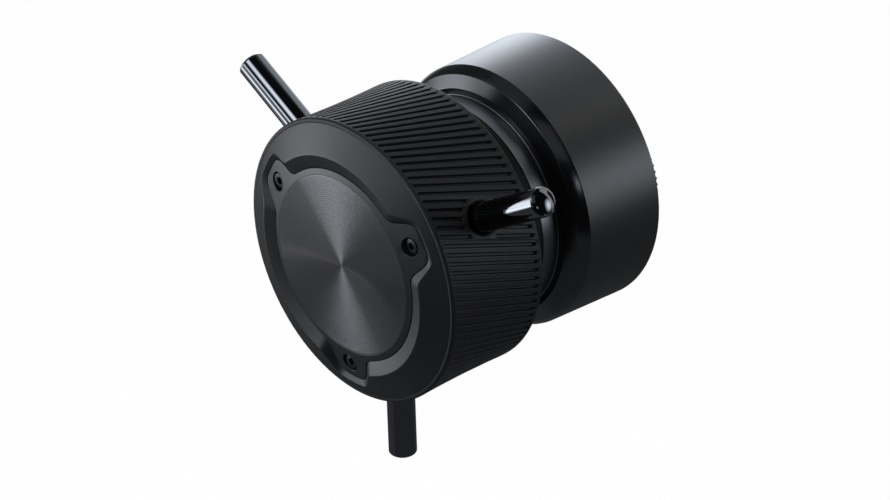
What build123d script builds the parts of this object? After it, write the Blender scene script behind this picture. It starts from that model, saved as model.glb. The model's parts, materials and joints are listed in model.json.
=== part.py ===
from build123d import *
import os
from dataclasses import dataclass
from math import cos, degrees, hypot, radians, sin

# A focus demand: a gripped knob with three spokes that turns on a round housing with a rear rosette.
# Frame, in mm: origin at the mouth of the rosette's thread, +Y out of the rear, +Z up.
# Seen from the front, along +Y, +X is to the right.

# Shared clearances
OVERRUN = 2.0  # how far a cut runs past the surface it opens
SEAT_GAP = 0.05  # slip fit between pieces that are fastened together
BALL_GAP = 0.10  # ball to raceway and ball to cage
RUNNING_GAP = 0.40  # collar to neck
FELT_GAP = 0.20  # felt ring to collar
TIP_ROOM = 0.5  # space past the tip of a screw

# Rosette, its boss and its thread
ROSETTE_RADIUS = 15.9
ROSETTE_TEETH = 60
TOOTH_INNER_RADIUS = 10.0
TOOTH_DEPTH = 0.83  # at the outer edge
TOOTH_RISE = 1.2  # crests past the mouth of the thread
ROSETTE_THICKNESS = 3.8  # base to crests
BOSS_HEIGHT = 4.2
BOSS_INSET = 0.2  # boss radius under the rosette radius
AXIS_OFFSET = 10.8  # rosette axis to knob axis
THREAD_RADIUS = 2.5  # minor radius of the M6 thread
INSERT_RADIUS = 4.6
INSERT_LENGTH = 8.6
ROSETTE_SCREWS = 4
ROSETTE_SCREW_CIRCLE = 7.4
SCREW_START = 45.0  # degrees, first screw of the rosette and of the cover

# Housing shell and back cover
HOUSING_RADIUS = 34.8  # at the rear edge
WALL_DRAFT = 0.9  # narrower at the front of the wall
WALL_LENGTH = 22.75
SHOULDER_LENGTH = 2.95
SHOULDER_STEP = 1.55  # radius lost over the shoulder
STEP_LENGTH = 1.7
LEDGE = 0.8  # shell edge standing out round the neck
SHELL_WALL = 4.2  # at the rear edge
SHELL_FLANGE = 4.2
REAR_ROUND = 0.5
COVER_RIM = 2.6  # shell ring left round the cover
COVER_THICKNESS = 3.0
COVER_SCREWS = 4
COVER_BOSS_RADIUS = 3.2
COVER_BOSS_LENGTH = 9.0
COVER_BOSS_SINK = 0.6  # boss sunk into the shell wall

# Neck, bearing carrier and felt ring
NECK_RADIUS = 27.5
NECK_LENGTH = 5.0
NECK_FLARE = 1.0  # concave flare at the rear of the neck
SPIGOT_RADIUS = 21.0
SPIGOT_LENGTH = 3.0
TUBE_WALL = 3.5
TUBE_TAIL = 11.5  # carrier tube behind the neck
RACE_RECESS = 0.5  # bearing face inside the tube's end
SEAT_LAND = 1.5  # step that a bearing's outer ring seats on
CARRIER_SCREWS = 4
CARRIER_SCREW_CIRCLE = 24.2
FELT_INNER = 23.6
FELT_OUTER = 25.6
FELT_DEPTH = 1.5

# Bearings, 12 by 21 by 5
BEARING_BORE_RADIUS = 6.0
BEARING_RADIUS = 10.5
BEARING_WIDTH = 5.0
BALL_RADIUS = 1.19
BALLS = 11
BALL_START_SHARE = 0.5  # of a pitch, first ball from +X
RACE_COVER_SHARE = 0.75  # race edge from the ball circle, as a share of the ball radius
CAGE_THICKNESS = 0.9
CAGE_WIDTH = 3.4
SPRING_THICKNESS = 1.0
SPRING_WIDTH = 1.2

# Shaft, retaining ring, magnet
FLANGE_RADIUS = 14.0
FLANGE_THICKNESS = 3.0
PILOT_LENGTH = 3.6
SHAFT_SHOULDER_LENGTH = 2.7
SPACER_WALL = 1.2
CLIP_THICKNESS = 1.0
CLIP_RADIUS = 8.0
CLIP_GROOVE_DEPTH = 0.5
CLIP_GAP_WIDTH = 3.0
SHAFT_TAIL = 1.5
HUB_SCREWS = 4
HUB_SCREW_CIRCLE = 10.2
HUB_HEAD_DEPTH = 2.2
HOLDER_RADIUS = 4.2
HOLDER_LENGTH = 2.6
HOLDER_STEM_RADIUS = 2.5
HOLDER_STEM_LENGTH = 4.0
MAGNET_RADIUS = 3.0
MAGNET_LENGTH = 2.0

# Knob core and collar
KNOB_RADIUS = 36.0
GRIP_THICKNESS = 2.0
GRIP_LENGTH = 28.8
GRIP_OVERHANG = 0.5  # grip past the rear of the core
FACE_EDGE_INSET = 1.04  # edge of the face ring inside the grip's radius
FACE_EDGE_THICKNESS = 0.6
FACE_RISE = 3.17  # rim of the face ahead of its outer edge
RIM_FLAT = 0.12  # between the face's cone and the pocket's bevel
CORE_WALL = 7.5
WEB_THICKNESS = 5.0
KNOB_TURN = 2.2  # degrees, how the knob stands at rest
COLLAR_RADIUS = 27.8
COLLAR_LENGTH = 8.1
COLLAR_WALL = 2.8
COLLAR_END = 2.5
COLLAR_FLANGE = 1.6
COLLAR_FLANGE_INSET = 1.0
COLLAR_SPIGOT = 2.0
COLLAR_SCREWS = 6
TUBE_ROOM = 1.5  # collar hole round the carrier tube

# Grip grooves
GROOVES = 102
GROOVE_WIDTH = 0.95
GROOVE_DEPTH = 0.7  # at a groove's middle; its ends are shallower, as the cutter is straight
GROOVE_SLANT = 19.1  # degrees from the knob axis
GROOVE_FRONT = 0.9  # front of the grip to the grooves
GROOVE_REAR = 1.4  # grooves to the rear of the grip
GROOVE_PHASE_SHARE = -0.05  # of a pitch, from the spoke
GROOVE_MARGIN = 1.1  # between a spoke hole and the grooves it stops
GROOVE_LEAST = 2.0  # shorter pieces of groove are left out
GRIP_FRONT_ROUND = 1.0
GRIP_REAR_ROUND = 0.4

# Spokes
SPOKE_ANGLES = {"right": 30.0, "left": 150.0, "lower": 270.0}
SPOKE_RADIUS = 3.55
SPOKE_REACH = 60.4  # tip from the knob axis
SPOKE_SETBACK = 14.4  # front of the grip to the spoke axis
SPOKE_SINK = 1.0  # seat below the core's surface
SPOKE_DOME = 0.9
SPOKE_HOLE_GAP = 0.45
SPOKE_HOLE_BEVEL = 0.4
SHANK_RADIUS = 2.5
SHANK_LENGTH = 5.5

# Three-lobed face plate and the spun disc
DISC_RADIUS = 22.85
DISC_SINK = 0.55  # disc behind the rim of the face
DISC_THICKNESS = 1.2
DISC_GAP = 0.10
PLATE_THICKNESS = 3.25
PLATE_SLOPE = 0.236  # fall per length out from the disc
PLATE_VALLEY = 24.4  # plate radius between the lobes
PLATE_TIP = 31.15  # plate radius at the lobe tips
LOBE_ROOT_HALF = 6.66
LOBE_TIP_HALF = 4.5
LOBES = 3
LOBE_ANGLE = 30.0
CORNER_ROUND = 3.2
VALLEY_ROUND = 4.0
VALLEY_WALL_SLOPE = 3.78  # run out per rise of the pocket's bevel between the lobes
TIP_WALL_SLOPE = 4.0  # and at the lobe tips
FLANK_WALL_SLOPE = 1.61  # and at the lobe sides
FACE_SCREW_CIRCLE = 27.1
FACE_HEAD_SINK = 1.65  # head seat below the plate's surface
COUNTERBORE_GAP = 0.35

# Circuit board and sockets
MAGNET_AIR_GAP = 1.1
BOARD_THICKNESS = 1.6
BOARD_ROOM = 0.5
POST_RADIUS = 2.6
POST_CIRCLE = 20.0
POST_ANGLES = (60.0, 120.0, 240.0, 300.0)
ENCODER_SIZE = 5.0
ENCODER_THICKNESS = 1.1
CONTROLLER_SIZE = 7.0
CONTROLLER_THICKNESS = 1.0
CONTROLLER_PLACE = 13.0  # along X from the knob axis
CAPACITOR_LENGTH = 3.2
CAPACITOR_WIDTH = 1.6
CAPACITOR_PITCH = 4.4
CAPACITOR_ROW = 9.0  # row above and below the encoder
CAPACITORS_A_ROW = 5
USB_WIDTH = 8.94
USB_HEIGHT = 3.26
USB_WALL = 0.3
USB_BASE = 1.0
USB_SINK = 0.4  # mouth below the cover's face
USB_GAP = 0.2
USB_PLACE = 17.0  # from the knob axis, away from the rosette
USB_SPREAD = 7.5  # each socket above or below the axis
TONGUE_WIDTH = 6.7
TONGUE_HEIGHT = 0.7
TONGUE_SINK = 1.2  # tongue behind the mouth


@dataclass(frozen=True)
class Screw:
    """Sizes of one kind of screw, with a sunk cone or a flat cylinder for its head."""

    head_radius: float
    head_height: float
    shank_radius: float
    shank_length: float
    socket_radius: float
    socket_depth: float
    sunk: bool = False


COVER_SCREW = Screw(
    head_radius=2.3,
    head_height=1.4,
    shank_radius=1.25,
    shank_length=6.0,
    socket_radius=0.9,
    socket_depth=0.8,
    sunk=True,
)
ROSETTE_SCREW = Screw(
    head_radius=2.2,
    head_height=1.3,
    shank_radius=1.25,
    shank_length=7.4,
    socket_radius=0.9,
    socket_depth=0.8,
    sunk=True,
)
CARRIER_SCREW = Screw(
    head_radius=2.2,
    head_height=1.5,
    shank_radius=1.25,
    shank_length=7.0,
    socket_radius=0.9,
    socket_depth=0.9,
)
COLLAR_SCREW = Screw(
    head_radius=2.0,
    head_height=1.2,
    shank_radius=1.1,
    shank_length=7.0,
    socket_radius=0.8,
    socket_depth=0.7,
    sunk=True,
)
HUB_SCREW = Screw(
    head_radius=2.3,
    head_height=2.0,
    shank_radius=1.25,
    shank_length=5.4,
    socket_radius=1.0,
    socket_depth=1.1,
)
FACE_SCREW = Screw(
    head_radius=1.95,
    head_height=1.1,
    shank_radius=1.1,
    shank_length=6.0,
    socket_radius=0.85,
    socket_depth=0.8,
)
BOARD_SCREW = Screw(
    head_radius=1.9,
    head_height=1.3,
    shank_radius=0.9,
    shank_length=4.6,
    socket_radius=0.7,
    socket_depth=0.7,
)

# Stations along Y, from the rear to the front
CREST_Y = TOOTH_RISE
ROSETTE_BASE_Y = CREST_Y - ROSETTE_THICKNESS
REAR_FACE_Y = ROSETTE_BASE_Y - BOSS_HEIGHT
COVER_INNER_Y = REAR_FACE_Y - COVER_THICKNESS
WALL_FRONT_Y = REAR_FACE_Y - WALL_LENGTH
SHOULDER_Y = WALL_FRONT_Y - SHOULDER_LENGTH
NECK_REAR_Y = SHOULDER_Y - STEP_LENGTH
NECK_FRONT_Y = NECK_REAR_Y - NECK_LENGTH
COLLAR_REAR_Y = NECK_FRONT_Y - RUNNING_GAP
GRIP_REAR_Y = COLLAR_REAR_Y - COLLAR_LENGTH
CORE_REAR_Y = GRIP_REAR_Y - GRIP_OVERHANG
GRIP_FRONT_Y = GRIP_REAR_Y - GRIP_LENGTH
SPOKE_Y = GRIP_FRONT_Y + SPOKE_SETBACK
RIM_Y = GRIP_FRONT_Y - FACE_RISE
DISC_Y = RIM_Y + DISC_SINK
FLOOR_Y = DISC_Y + PLATE_THICKNESS
WEB_REAR_Y = FLOOR_Y + WEB_THICKNESS
FLANGE_REAR_Y = WEB_REAR_Y + FLANGE_THICKNESS
FRONT_RACE_Y = FLANGE_REAR_Y + SHAFT_SHOULDER_LENGTH
TUBE_FRONT_Y = FRONT_RACE_Y - RACE_RECESS
TUBE_REAR_Y = NECK_REAR_Y + TUBE_TAIL
REAR_RACE_END_Y = TUBE_REAR_Y - RACE_RECESS
REAR_RACE_Y = REAR_RACE_END_Y - BEARING_WIDTH
CLIP_REAR_Y = REAR_RACE_END_Y + CLIP_THICKNESS
SHAFT_END_Y = CLIP_REAR_Y + SHAFT_TAIL
MAGNET_FACE_Y = SHAFT_END_Y + HOLDER_LENGTH
ENCODER_Y = MAGNET_FACE_Y + MAGNET_AIR_GAP
BOARD_FRONT_Y = ENCODER_Y + ENCODER_THICKNESS
BOARD_REAR_Y = BOARD_FRONT_Y + BOARD_THICKNESS
USB_MOUTH_Y = REAR_FACE_Y - USB_SINK

# Radii and places that follow from the driving sizes
AXIS_X = -AXIS_OFFSET
KNOB_AXIS = Axis((AXIS_X, 0, 0), (0, 1, 0))
ON_BASE = (Align.CENTER, Align.CENTER, Align.MIN)
CAVITY_RADIUS = HOUSING_RADIUS - SHELL_WALL
COVER_RADIUS = HOUSING_RADIUS - COVER_RIM
WALL_FRONT_RADIUS = HOUSING_RADIUS - WALL_DRAFT
SHOULDER_RADIUS = WALL_FRONT_RADIUS - SHOULDER_STEP
FLARE_RADIUS = NECK_RADIUS + NECK_FLARE
LEDGE_RADIUS = FLARE_RADIUS + LEDGE
COVER_SCREW_CIRCLE = CAVITY_RADIUS + COVER_BOSS_SINK - COVER_BOSS_RADIUS
BOARD_RADIUS = COVER_SCREW_CIRCLE - COVER_BOSS_RADIUS - BOARD_ROOM
TUBE_RADIUS = BEARING_RADIUS + TUBE_WALL
CORE_RADIUS = KNOB_RADIUS - GRIP_THICKNESS
FACE_EDGE_RADIUS = KNOB_RADIUS - FACE_EDGE_INSET
CORE_BORE = CORE_RADIUS - CORE_WALL
COLLAR_FLANGE_RADIUS = CORE_RADIUS - COLLAR_FLANGE_INSET
COLLAR_SCREW_CIRCLE = (COLLAR_RADIUS + COLLAR_FLANGE_RADIUS) / 2
SPOKE_SEAT = CORE_RADIUS - SPOKE_SINK
SPOKE_HOLE = SPOKE_RADIUS + SPOKE_HOLE_GAP
BALL_CIRCLE = (BEARING_BORE_RADIUS + BEARING_RADIUS) / 2
RACE_EDGE = BALL_RADIUS * RACE_COVER_SHARE
PLATE_VALLEY_Y = DISC_Y + PLATE_SLOPE * (PLATE_VALLEY - DISC_RADIUS)
PLATE_TIP_Y = DISC_Y + PLATE_SLOPE * (PLATE_TIP - DISC_RADIUS)
FACE_SEAT_Y = DISC_Y + PLATE_SLOPE * (FACE_SCREW_CIRCLE - DISC_RADIUS) + FACE_HEAD_SINK
HUB_SEAT_Y = FLOOR_Y + HUB_HEAD_DEPTH
RIM_RADIUS = PLATE_VALLEY + VALLEY_WALL_SLOPE * (PLATE_VALLEY_Y - RIM_Y) + RIM_FLAT


def turned(*points):
    """Solid of revolution about the knob axis from (radius, y) points."""
    outline = Polyline(*[(AXIS_X + radius, y) for radius, y in points], close=True)
    return revolve(make_face(outline), KNOB_AXIS)


def front_plane(y, x=AXIS_X, z=0):
    """Plane at station y, facing forward, with +Z as its second direction."""
    return Plane((x, y, z), x_dir=(1, 0, 0), z_dir=(0, -1, 0))


def drum(radius, front, rear, x=AXIS_X, z=0):
    """Solid cylinder along Y between two stations."""
    return front_plane(rear, x, z) * Cylinder(radius, rear - front, align=ON_BASE)


def taper(front_radius, rear_radius, front, rear, x=AXIS_X, z=0):
    """Solid cone along Y between two stations."""
    return front_plane(rear, x, z) * Cone(rear_radius, front_radius, rear - front, align=ON_BASE)


def tube(inner, outer, front, rear, x=AXIS_X, z=0):
    """Hollow cylinder along Y between two stations."""
    return drum(outer, front, rear, x, z) - drum(inner, front - OVERRUN, rear + OVERRUN, x, z)


def block(width, height, front, rear, x, z):
    """Box along Y between two stations, centred at x and z."""
    return front_plane(rear, x, z) * Box(width, height, rear - front, align=ON_BASE)


def widest_edges(piece):
    """Round edges of the largest radius on a turned piece, from the front to the rear."""
    rounds = piece.edges().filter_by(GeomType.CIRCLE)
    widest = max(edge.radius for edge in rounds)
    chosen = [edge for edge in rounds if widest - edge.radius < SEAT_GAP]
    return sorted(chosen, key=lambda edge: edge.center().Y)


def ring_places(count, circle, first=0.0, x=AXIS_X):
    """Places of a ring of holes: (x, z) pairs."""
    angles = [radians(first + 360.0 * index / count) for index in range(count)]
    return [(x + circle * cos(angle), circle * sin(angle)) for angle in angles]


def radial_plane(angle, y):
    """Plane on the knob axis at station y, facing out at an angle from +X towards +Z."""
    turn = radians(angle)
    return Plane((AXIS_X, y, 0), x_dir=(0, 1, 0), z_dir=(cos(turn), 0, sin(turn)))


def along(seat, facing, start, end):
    """Front and rear stations of a stretch measured from a screw's seat towards its head."""
    return sorted((seat + facing * start, seat + facing * end))


def screw_solid(kind, x, z, seat, facing):
    """A screw along Y whose head faces the rear (1) or the front (-1)."""
    shank = drum(kind.shank_radius, *along(seat, facing, -kind.shank_length, kind.head_height), x, z)
    front, rear = along(seat, facing, 0, kind.head_height)
    if kind.sunk and facing > 0:
        head = taper(kind.shank_radius, kind.head_radius, front, rear, x, z)
    elif kind.sunk:
        head = taper(kind.head_radius, kind.shank_radius, front, rear, x, z)
    else:
        head = drum(kind.head_radius, front, rear, x, z)
    front, rear = along(seat, facing, kind.head_height - kind.socket_depth, kind.head_height + OVERRUN)
    socket = front_plane(rear, x, z) * extrude(RegularPolygon(kind.socket_radius, 6), rear - front)
    return shank + head - socket


def screw_hole(kind, x, z, seat, facing, head_gap=SEAT_GAP):
    """The room that such a screw needs, open past its head."""
    shank_span = along(seat, facing, -kind.shank_length - TIP_ROOM, OVERRUN)
    hole = drum(kind.shank_radius + SEAT_GAP, *shank_span, x, z)
    wide = kind.head_radius + head_gap
    front, rear = along(seat, facing, 0, kind.head_height)
    if kind.sunk and facing > 0:
        hole += taper(kind.shank_radius + SEAT_GAP, wide, front, rear, x, z)
    elif kind.sunk:
        hole += taper(wide, kind.shank_radius + SEAT_GAP, front, rear, x, z)
    else:
        hole += drum(wide, front, rear, x, z)
    return hole + drum(wide, *along(seat, facing, kind.head_height, kind.head_height + OVERRUN), x, z)


def screw_set(kind, places, seat, facing):
    """A group of like screws as separate solids."""
    return Compound([screw_solid(kind, x, z, seat, facing).solid() for x, z in places])


def drilled(piece, kind, places, seat, facing, head_gap=SEAT_GAP):
    """A piece with the holes of a screw group cut into it."""
    for x, z in places:
        piece -= screw_hole(kind, x, z, seat, facing, head_gap)
    return piece


def rosette_parts():
    """Toothed rosette, the boss under it, its screws and the threaded insert."""
    seat = -ROSETTE_SCREW.head_height
    places = ring_places(ROSETTE_SCREWS, ROSETTE_SCREW_CIRCLE, SCREW_START, 0)
    rosette = drum(ROSETTE_RADIUS, ROSETTE_BASE_Y, CREST_Y, 0)
    rosette -= drum(TOOTH_INNER_RADIUS, 0, CREST_Y + OVERRUN, 0)
    rosette -= drum(INSERT_RADIUS + SEAT_GAP, ROSETTE_BASE_Y - OVERRUN, CREST_Y, 0)
    rosette = drilled(rosette, ROSETTE_SCREW, places, seat, 1)
    boss = tube(INSERT_RADIUS + SEAT_GAP, ROSETTE_RADIUS - BOSS_INSET, REAR_FACE_Y, ROSETTE_BASE_Y, 0)
    boss = drilled(boss, ROSETTE_SCREW, places, seat, 1)
    pitch = 360.0 / ROSETTE_TEETH
    reach = ROSETTE_RADIUS + OVERRUN
    half = reach * sin(radians(pitch / 2))
    depth = TOOTH_DEPTH * reach / ROSETTE_RADIUS
    notch_end = make_face(Polyline((-half, 0), (half, 0), (0, -depth), close=True))
    edge_plane = Plane((reach, CREST_Y, 0), x_dir=(0, 0, 1), z_dir=(-1, 0, 0))
    notch = loft([edge_plane * notch_end, Vertex(0, CREST_Y, 0)])
    rosette = rosette.cut(*[notch.rotate(Axis.Y, pitch * index) for index in range(ROSETTE_TEETH)])
    insert = tube(THREAD_RADIUS, INSERT_RADIUS, -INSERT_LENGTH, 0, 0)
    return {
        "rosette": rosette,
        "rosette_boss": boss,
        "rosette_screws": screw_set(ROSETTE_SCREW, places, seat, 1),
        "thread_insert": insert,
    }


def usb_slot(width, height):
    """Outline of a socket mouth: a slot with round ends."""
    return SlotOverall(width, height)


def usb_places():
    """Name and (x, z) of each socket."""
    x = AXIS_X - USB_PLACE
    return {"upper": (x, USB_SPREAD), "lower": (x, -USB_SPREAD)}


def usb_parts():
    """Shell and tongue of each socket on the board."""
    parts = {}
    length = USB_MOUTH_Y - BOARD_REAR_Y
    for name, (x, z) in usb_places().items():
        shell = front_plane(USB_MOUTH_Y, x, z) * extrude(usb_slot(USB_WIDTH, USB_HEIGHT), length)
        bore = usb_slot(USB_WIDTH - 2 * USB_WALL, USB_HEIGHT - 2 * USB_WALL)
        shell -= front_plane(USB_MOUTH_Y, x, z) * extrude(bore, length - USB_BASE)
        parts["usb_shell_" + name] = shell
        parts["usb_tongue_" + name] = block(
            TONGUE_WIDTH, TONGUE_HEIGHT, BOARD_REAR_Y + USB_BASE, USB_MOUTH_Y - TONGUE_SINK, x, z
        )
    return parts


def cover_parts():
    """Back cover with the board's posts, and its screws."""
    seat = REAR_FACE_Y - COVER_SCREW.head_height
    places = ring_places(COVER_SCREWS, COVER_SCREW_CIRCLE, SCREW_START)
    cover = drum(COVER_RADIUS - SEAT_GAP, COVER_INNER_Y, REAR_FACE_Y)
    cover -= drum(INSERT_RADIUS + SEAT_GAP, -INSERT_LENGTH, OVERRUN, 0)
    rosette_places = ring_places(ROSETTE_SCREWS, ROSETTE_SCREW_CIRCLE, SCREW_START, 0)
    cover = drilled(cover, ROSETTE_SCREW, rosette_places, -ROSETTE_SCREW.head_height, 1)
    cover = drilled(cover, COVER_SCREW, places, seat, 1)
    for x, z in usb_places().values():
        opening = usb_slot(USB_WIDTH + 2 * USB_GAP, USB_HEIGHT + 2 * USB_GAP)
        depth = COVER_THICKNESS + 2 * OVERRUN
        cover -= front_plane(REAR_FACE_Y + OVERRUN, x, z) * extrude(opening, depth)
    for x, z in post_places():
        cover += drum(POST_RADIUS, BOARD_REAR_Y, COVER_INNER_Y, x, z)
    cover = drilled(cover, BOARD_SCREW, post_places(), BOARD_FRONT_Y, -1)
    return {"back_cover": cover, "cover_screws": screw_set(COVER_SCREW, places, seat, 1)}


def shell_parts():
    """Housing shell, screwed to the neck from inside, and those screws."""
    flange_rear = NECK_REAR_Y + SHELL_FLANGE
    shell = turned(
        (SPIGOT_RADIUS + SEAT_GAP, NECK_REAR_Y),
        (LEDGE_RADIUS, NECK_REAR_Y),
        (SHOULDER_RADIUS, SHOULDER_Y),
        (WALL_FRONT_RADIUS, WALL_FRONT_Y),
        (HOUSING_RADIUS, REAR_FACE_Y),
        (COVER_RADIUS, REAR_FACE_Y),
        (COVER_RADIUS, COVER_INNER_Y),
        (CAVITY_RADIUS, COVER_INNER_Y),
        (CAVITY_RADIUS, flange_rear),
        (SPIGOT_RADIUS + SEAT_GAP, flange_rear),
    )
    shell = fillet(widest_edges(shell)[-1], REAR_ROUND)
    cover_places = ring_places(COVER_SCREWS, COVER_SCREW_CIRCLE, SCREW_START)
    for x, z in cover_places:
        shell += drum(COVER_BOSS_RADIUS, COVER_INNER_Y - COVER_BOSS_LENGTH, COVER_INNER_Y, x, z)
    shell = drilled(shell, COVER_SCREW, cover_places, REAR_FACE_Y - COVER_SCREW.head_height, 1)
    places = ring_places(CARRIER_SCREWS, CARRIER_SCREW_CIRCLE)
    shell = drilled(shell, CARRIER_SCREW, places, flange_rear, 1)
    return {"housing_shell": shell, "carrier_screws": screw_set(CARRIER_SCREW, places, flange_rear, 1)}


def carrier_parts():
    """Neck with the bearing tube, the felt ring in its front face and the preload spring."""
    land = BEARING_RADIUS - SEAT_LAND
    seat_front = FRONT_RACE_Y + BEARING_WIDTH
    seat_rear = REAR_RACE_Y - SPRING_THICKNESS
    carrier = turned(
        (land, seat_front),
        (BEARING_RADIUS, seat_front),
        (BEARING_RADIUS, TUBE_FRONT_Y),
        (TUBE_RADIUS, TUBE_FRONT_Y),
        (TUBE_RADIUS, NECK_FRONT_Y),
        (FELT_INNER, NECK_FRONT_Y),
        (FELT_INNER, NECK_FRONT_Y + FELT_DEPTH),
        (FELT_OUTER, NECK_FRONT_Y + FELT_DEPTH),
        (FELT_OUTER, NECK_FRONT_Y),
        (NECK_RADIUS, NECK_FRONT_Y),
        (NECK_RADIUS, NECK_REAR_Y - NECK_FLARE),
        (FLARE_RADIUS, NECK_REAR_Y),
        (SPIGOT_RADIUS, NECK_REAR_Y),
        (SPIGOT_RADIUS, NECK_REAR_Y + SPIGOT_LENGTH),
        (TUBE_RADIUS, NECK_REAR_Y + SPIGOT_LENGTH),
        (TUBE_RADIUS, TUBE_REAR_Y),
        (BEARING_RADIUS, TUBE_REAR_Y),
        (BEARING_RADIUS, seat_rear),
        (land, seat_rear),
    )
    places = ring_places(CARRIER_SCREWS, CARRIER_SCREW_CIRCLE)
    carrier = drilled(carrier, CARRIER_SCREW, places, NECK_REAR_Y + SHELL_FLANGE, 1)
    spring_outer = BEARING_RADIUS - SEAT_GAP
    return {
        "bearing_carrier": carrier,
        "felt_ring": tube(FELT_INNER, FELT_OUTER, COLLAR_REAR_Y + FELT_GAP, NECK_FRONT_Y + FELT_DEPTH),
        "preload_spring": tube(spring_outer - SPRING_WIDTH, spring_outer, seat_rear, REAR_RACE_Y),
    }


def bearing_parts(name, front):
    """Outer ring, inner ring, cage and balls of one bearing."""
    rear = front + BEARING_WIDTH
    middle = front + BEARING_WIDTH / 2
    ball_room = BALL_RADIUS + BALL_GAP
    track = revolve(Pos(AXIS_X + BALL_CIRCLE, middle) * Circle(ball_room), KNOB_AXIS)
    pitch = 360.0 / BALLS
    angles = [pitch * (index + BALL_START_SHARE) for index in range(BALLS)]
    planes = [radial_plane(angle, middle) for angle in angles]
    balls = [plane * Pos(0, 0, BALL_CIRCLE) * Sphere(BALL_RADIUS) for plane in planes]
    pockets = [plane * Cylinder(ball_room, BEARING_RADIUS, align=ON_BASE) for plane in planes]
    cage = tube(
        BALL_CIRCLE - CAGE_THICKNESS / 2,
        BALL_CIRCLE + CAGE_THICKNESS / 2,
        middle - CAGE_WIDTH / 2,
        middle + CAGE_WIDTH / 2,
    )
    return {
        name + "_outer_ring": tube(BALL_CIRCLE + RACE_EDGE, BEARING_RADIUS, front, rear) - track,
        name + "_inner_ring": tube(BEARING_BORE_RADIUS, BALL_CIRCLE - RACE_EDGE, front, rear) - track,
        name + "_cage": cage.cut(*pockets),
        name + "_balls": Compound([ball.solid() for ball in balls]),
    }


def shaft_parts():
    """Flanged shaft, its screws, spacer, retaining ring, magnet holder and magnet."""
    shaft = drum(FLANGE_RADIUS, WEB_REAR_Y, FLANGE_REAR_Y)
    shaft += drum(BEARING_BORE_RADIUS, WEB_REAR_Y - PILOT_LENGTH, SHAFT_END_Y)
    shaft += drum(BEARING_BORE_RADIUS + SPACER_WALL, WEB_REAR_Y, FRONT_RACE_Y)
    groove_floor = BEARING_BORE_RADIUS - CLIP_GROOVE_DEPTH
    shaft -= tube(groove_floor, BEARING_BORE_RADIUS + OVERRUN, REAR_RACE_END_Y, CLIP_REAR_Y)
    shaft -= drum(HOLDER_STEM_RADIUS, SHAFT_END_Y - HOLDER_STEM_LENGTH, SHAFT_END_Y + OVERRUN)
    hub_places = ring_places(HUB_SCREWS, HUB_SCREW_CIRCLE, KNOB_TURN)
    shaft = drilled(shaft, HUB_SCREW, hub_places, HUB_SEAT_Y, -1)
    clip = tube(groove_floor + SEAT_GAP, CLIP_RADIUS, REAR_RACE_END_Y, CLIP_REAR_Y)
    mouth_front = REAR_RACE_END_Y - OVERRUN
    clip -= block(CLIP_RADIUS, CLIP_GAP_WIDTH, mouth_front, CLIP_REAR_Y + OVERRUN, AXIS_X + CLIP_RADIUS, 0)
    holder = drum(HOLDER_RADIUS, SHAFT_END_Y, MAGNET_FACE_Y)
    holder += drum(HOLDER_STEM_RADIUS, SHAFT_END_Y - HOLDER_STEM_LENGTH, SHAFT_END_Y)
    magnet_front = MAGNET_FACE_Y - MAGNET_LENGTH
    holder -= drum(MAGNET_RADIUS, magnet_front, MAGNET_FACE_Y + OVERRUN)
    spacer_bore = BEARING_BORE_RADIUS + SEAT_GAP
    return {
        "shaft": shaft,
        "hub_screws": screw_set(HUB_SCREW, hub_places, HUB_SEAT_Y, -1),
        "inner_spacer": tube(
            spacer_bore, BEARING_BORE_RADIUS + SPACER_WALL, FRONT_RACE_Y + BEARING_WIDTH, REAR_RACE_Y
        ),
        "retaining_ring": clip,
        "magnet_holder": holder,
        "magnet": drum(MAGNET_RADIUS, magnet_front, MAGNET_FACE_Y),
    }


def lobed_outline(valley, tip, root_half, tip_half, growth=0.0):
    """Circle with round-cornered lobes, grown all round by an allowance."""
    valley += growth
    tip += growth
    lean = (root_half - tip_half) / (tip - valley)
    base = root_half + growth + valley * lean
    end = tip_half + growth - OVERRUN * lean
    far = tip + OVERRUN
    lobe = make_face(Polyline((0, -base), (far, -end), (far, end), (0, base), close=True)) & Circle(tip)
    outline = Circle(valley)
    for index in range(LOBES):
        outline += Rot(0, 0, 360.0 / LOBES * index) * lobe
    middle = (valley + tip) / 2
    corners = [vertex for vertex in outline.vertices() if hypot(vertex.X, vertex.Y) > middle]
    outline = fillet(corners, CORNER_ROUND)
    roots = [vertex for vertex in outline.vertices() if abs(hypot(vertex.X, vertex.Y) - valley) < SEAT_GAP]
    return Rot(0, 0, LOBE_ANGLE + KNOB_TURN) * fillet(roots, VALLEY_ROUND)


def plate_prism(growth=0.0):
    """The plate's outline as a prism through the face."""
    outline = lobed_outline(PLATE_VALLEY, PLATE_TIP, LOBE_ROOT_HALF, LOBE_TIP_HALF, growth)
    return front_plane(FLOOR_Y) * extrude(outline, FLOOR_Y - RIM_Y + OVERRUN)


def pocket_section(y):
    """Outline of the pocket's bevelled wall at a station."""
    valley = PLATE_VALLEY + VALLEY_WALL_SLOPE * (PLATE_VALLEY_Y - y)
    tip = PLATE_TIP + TIP_WALL_SLOPE * (PLATE_TIP_Y - y)
    half = LOBE_TIP_HALF + FLANK_WALL_SLOPE * (PLATE_TIP_Y - y)
    return front_plane(y) * lobed_outline(valley, tip, half, half).face()


def face_places():
    """Places of the face screws, one in each lobe."""
    return ring_places(LOBES, FACE_SCREW_CIRCLE, LOBE_ANGLE + KNOB_TURN)


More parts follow.
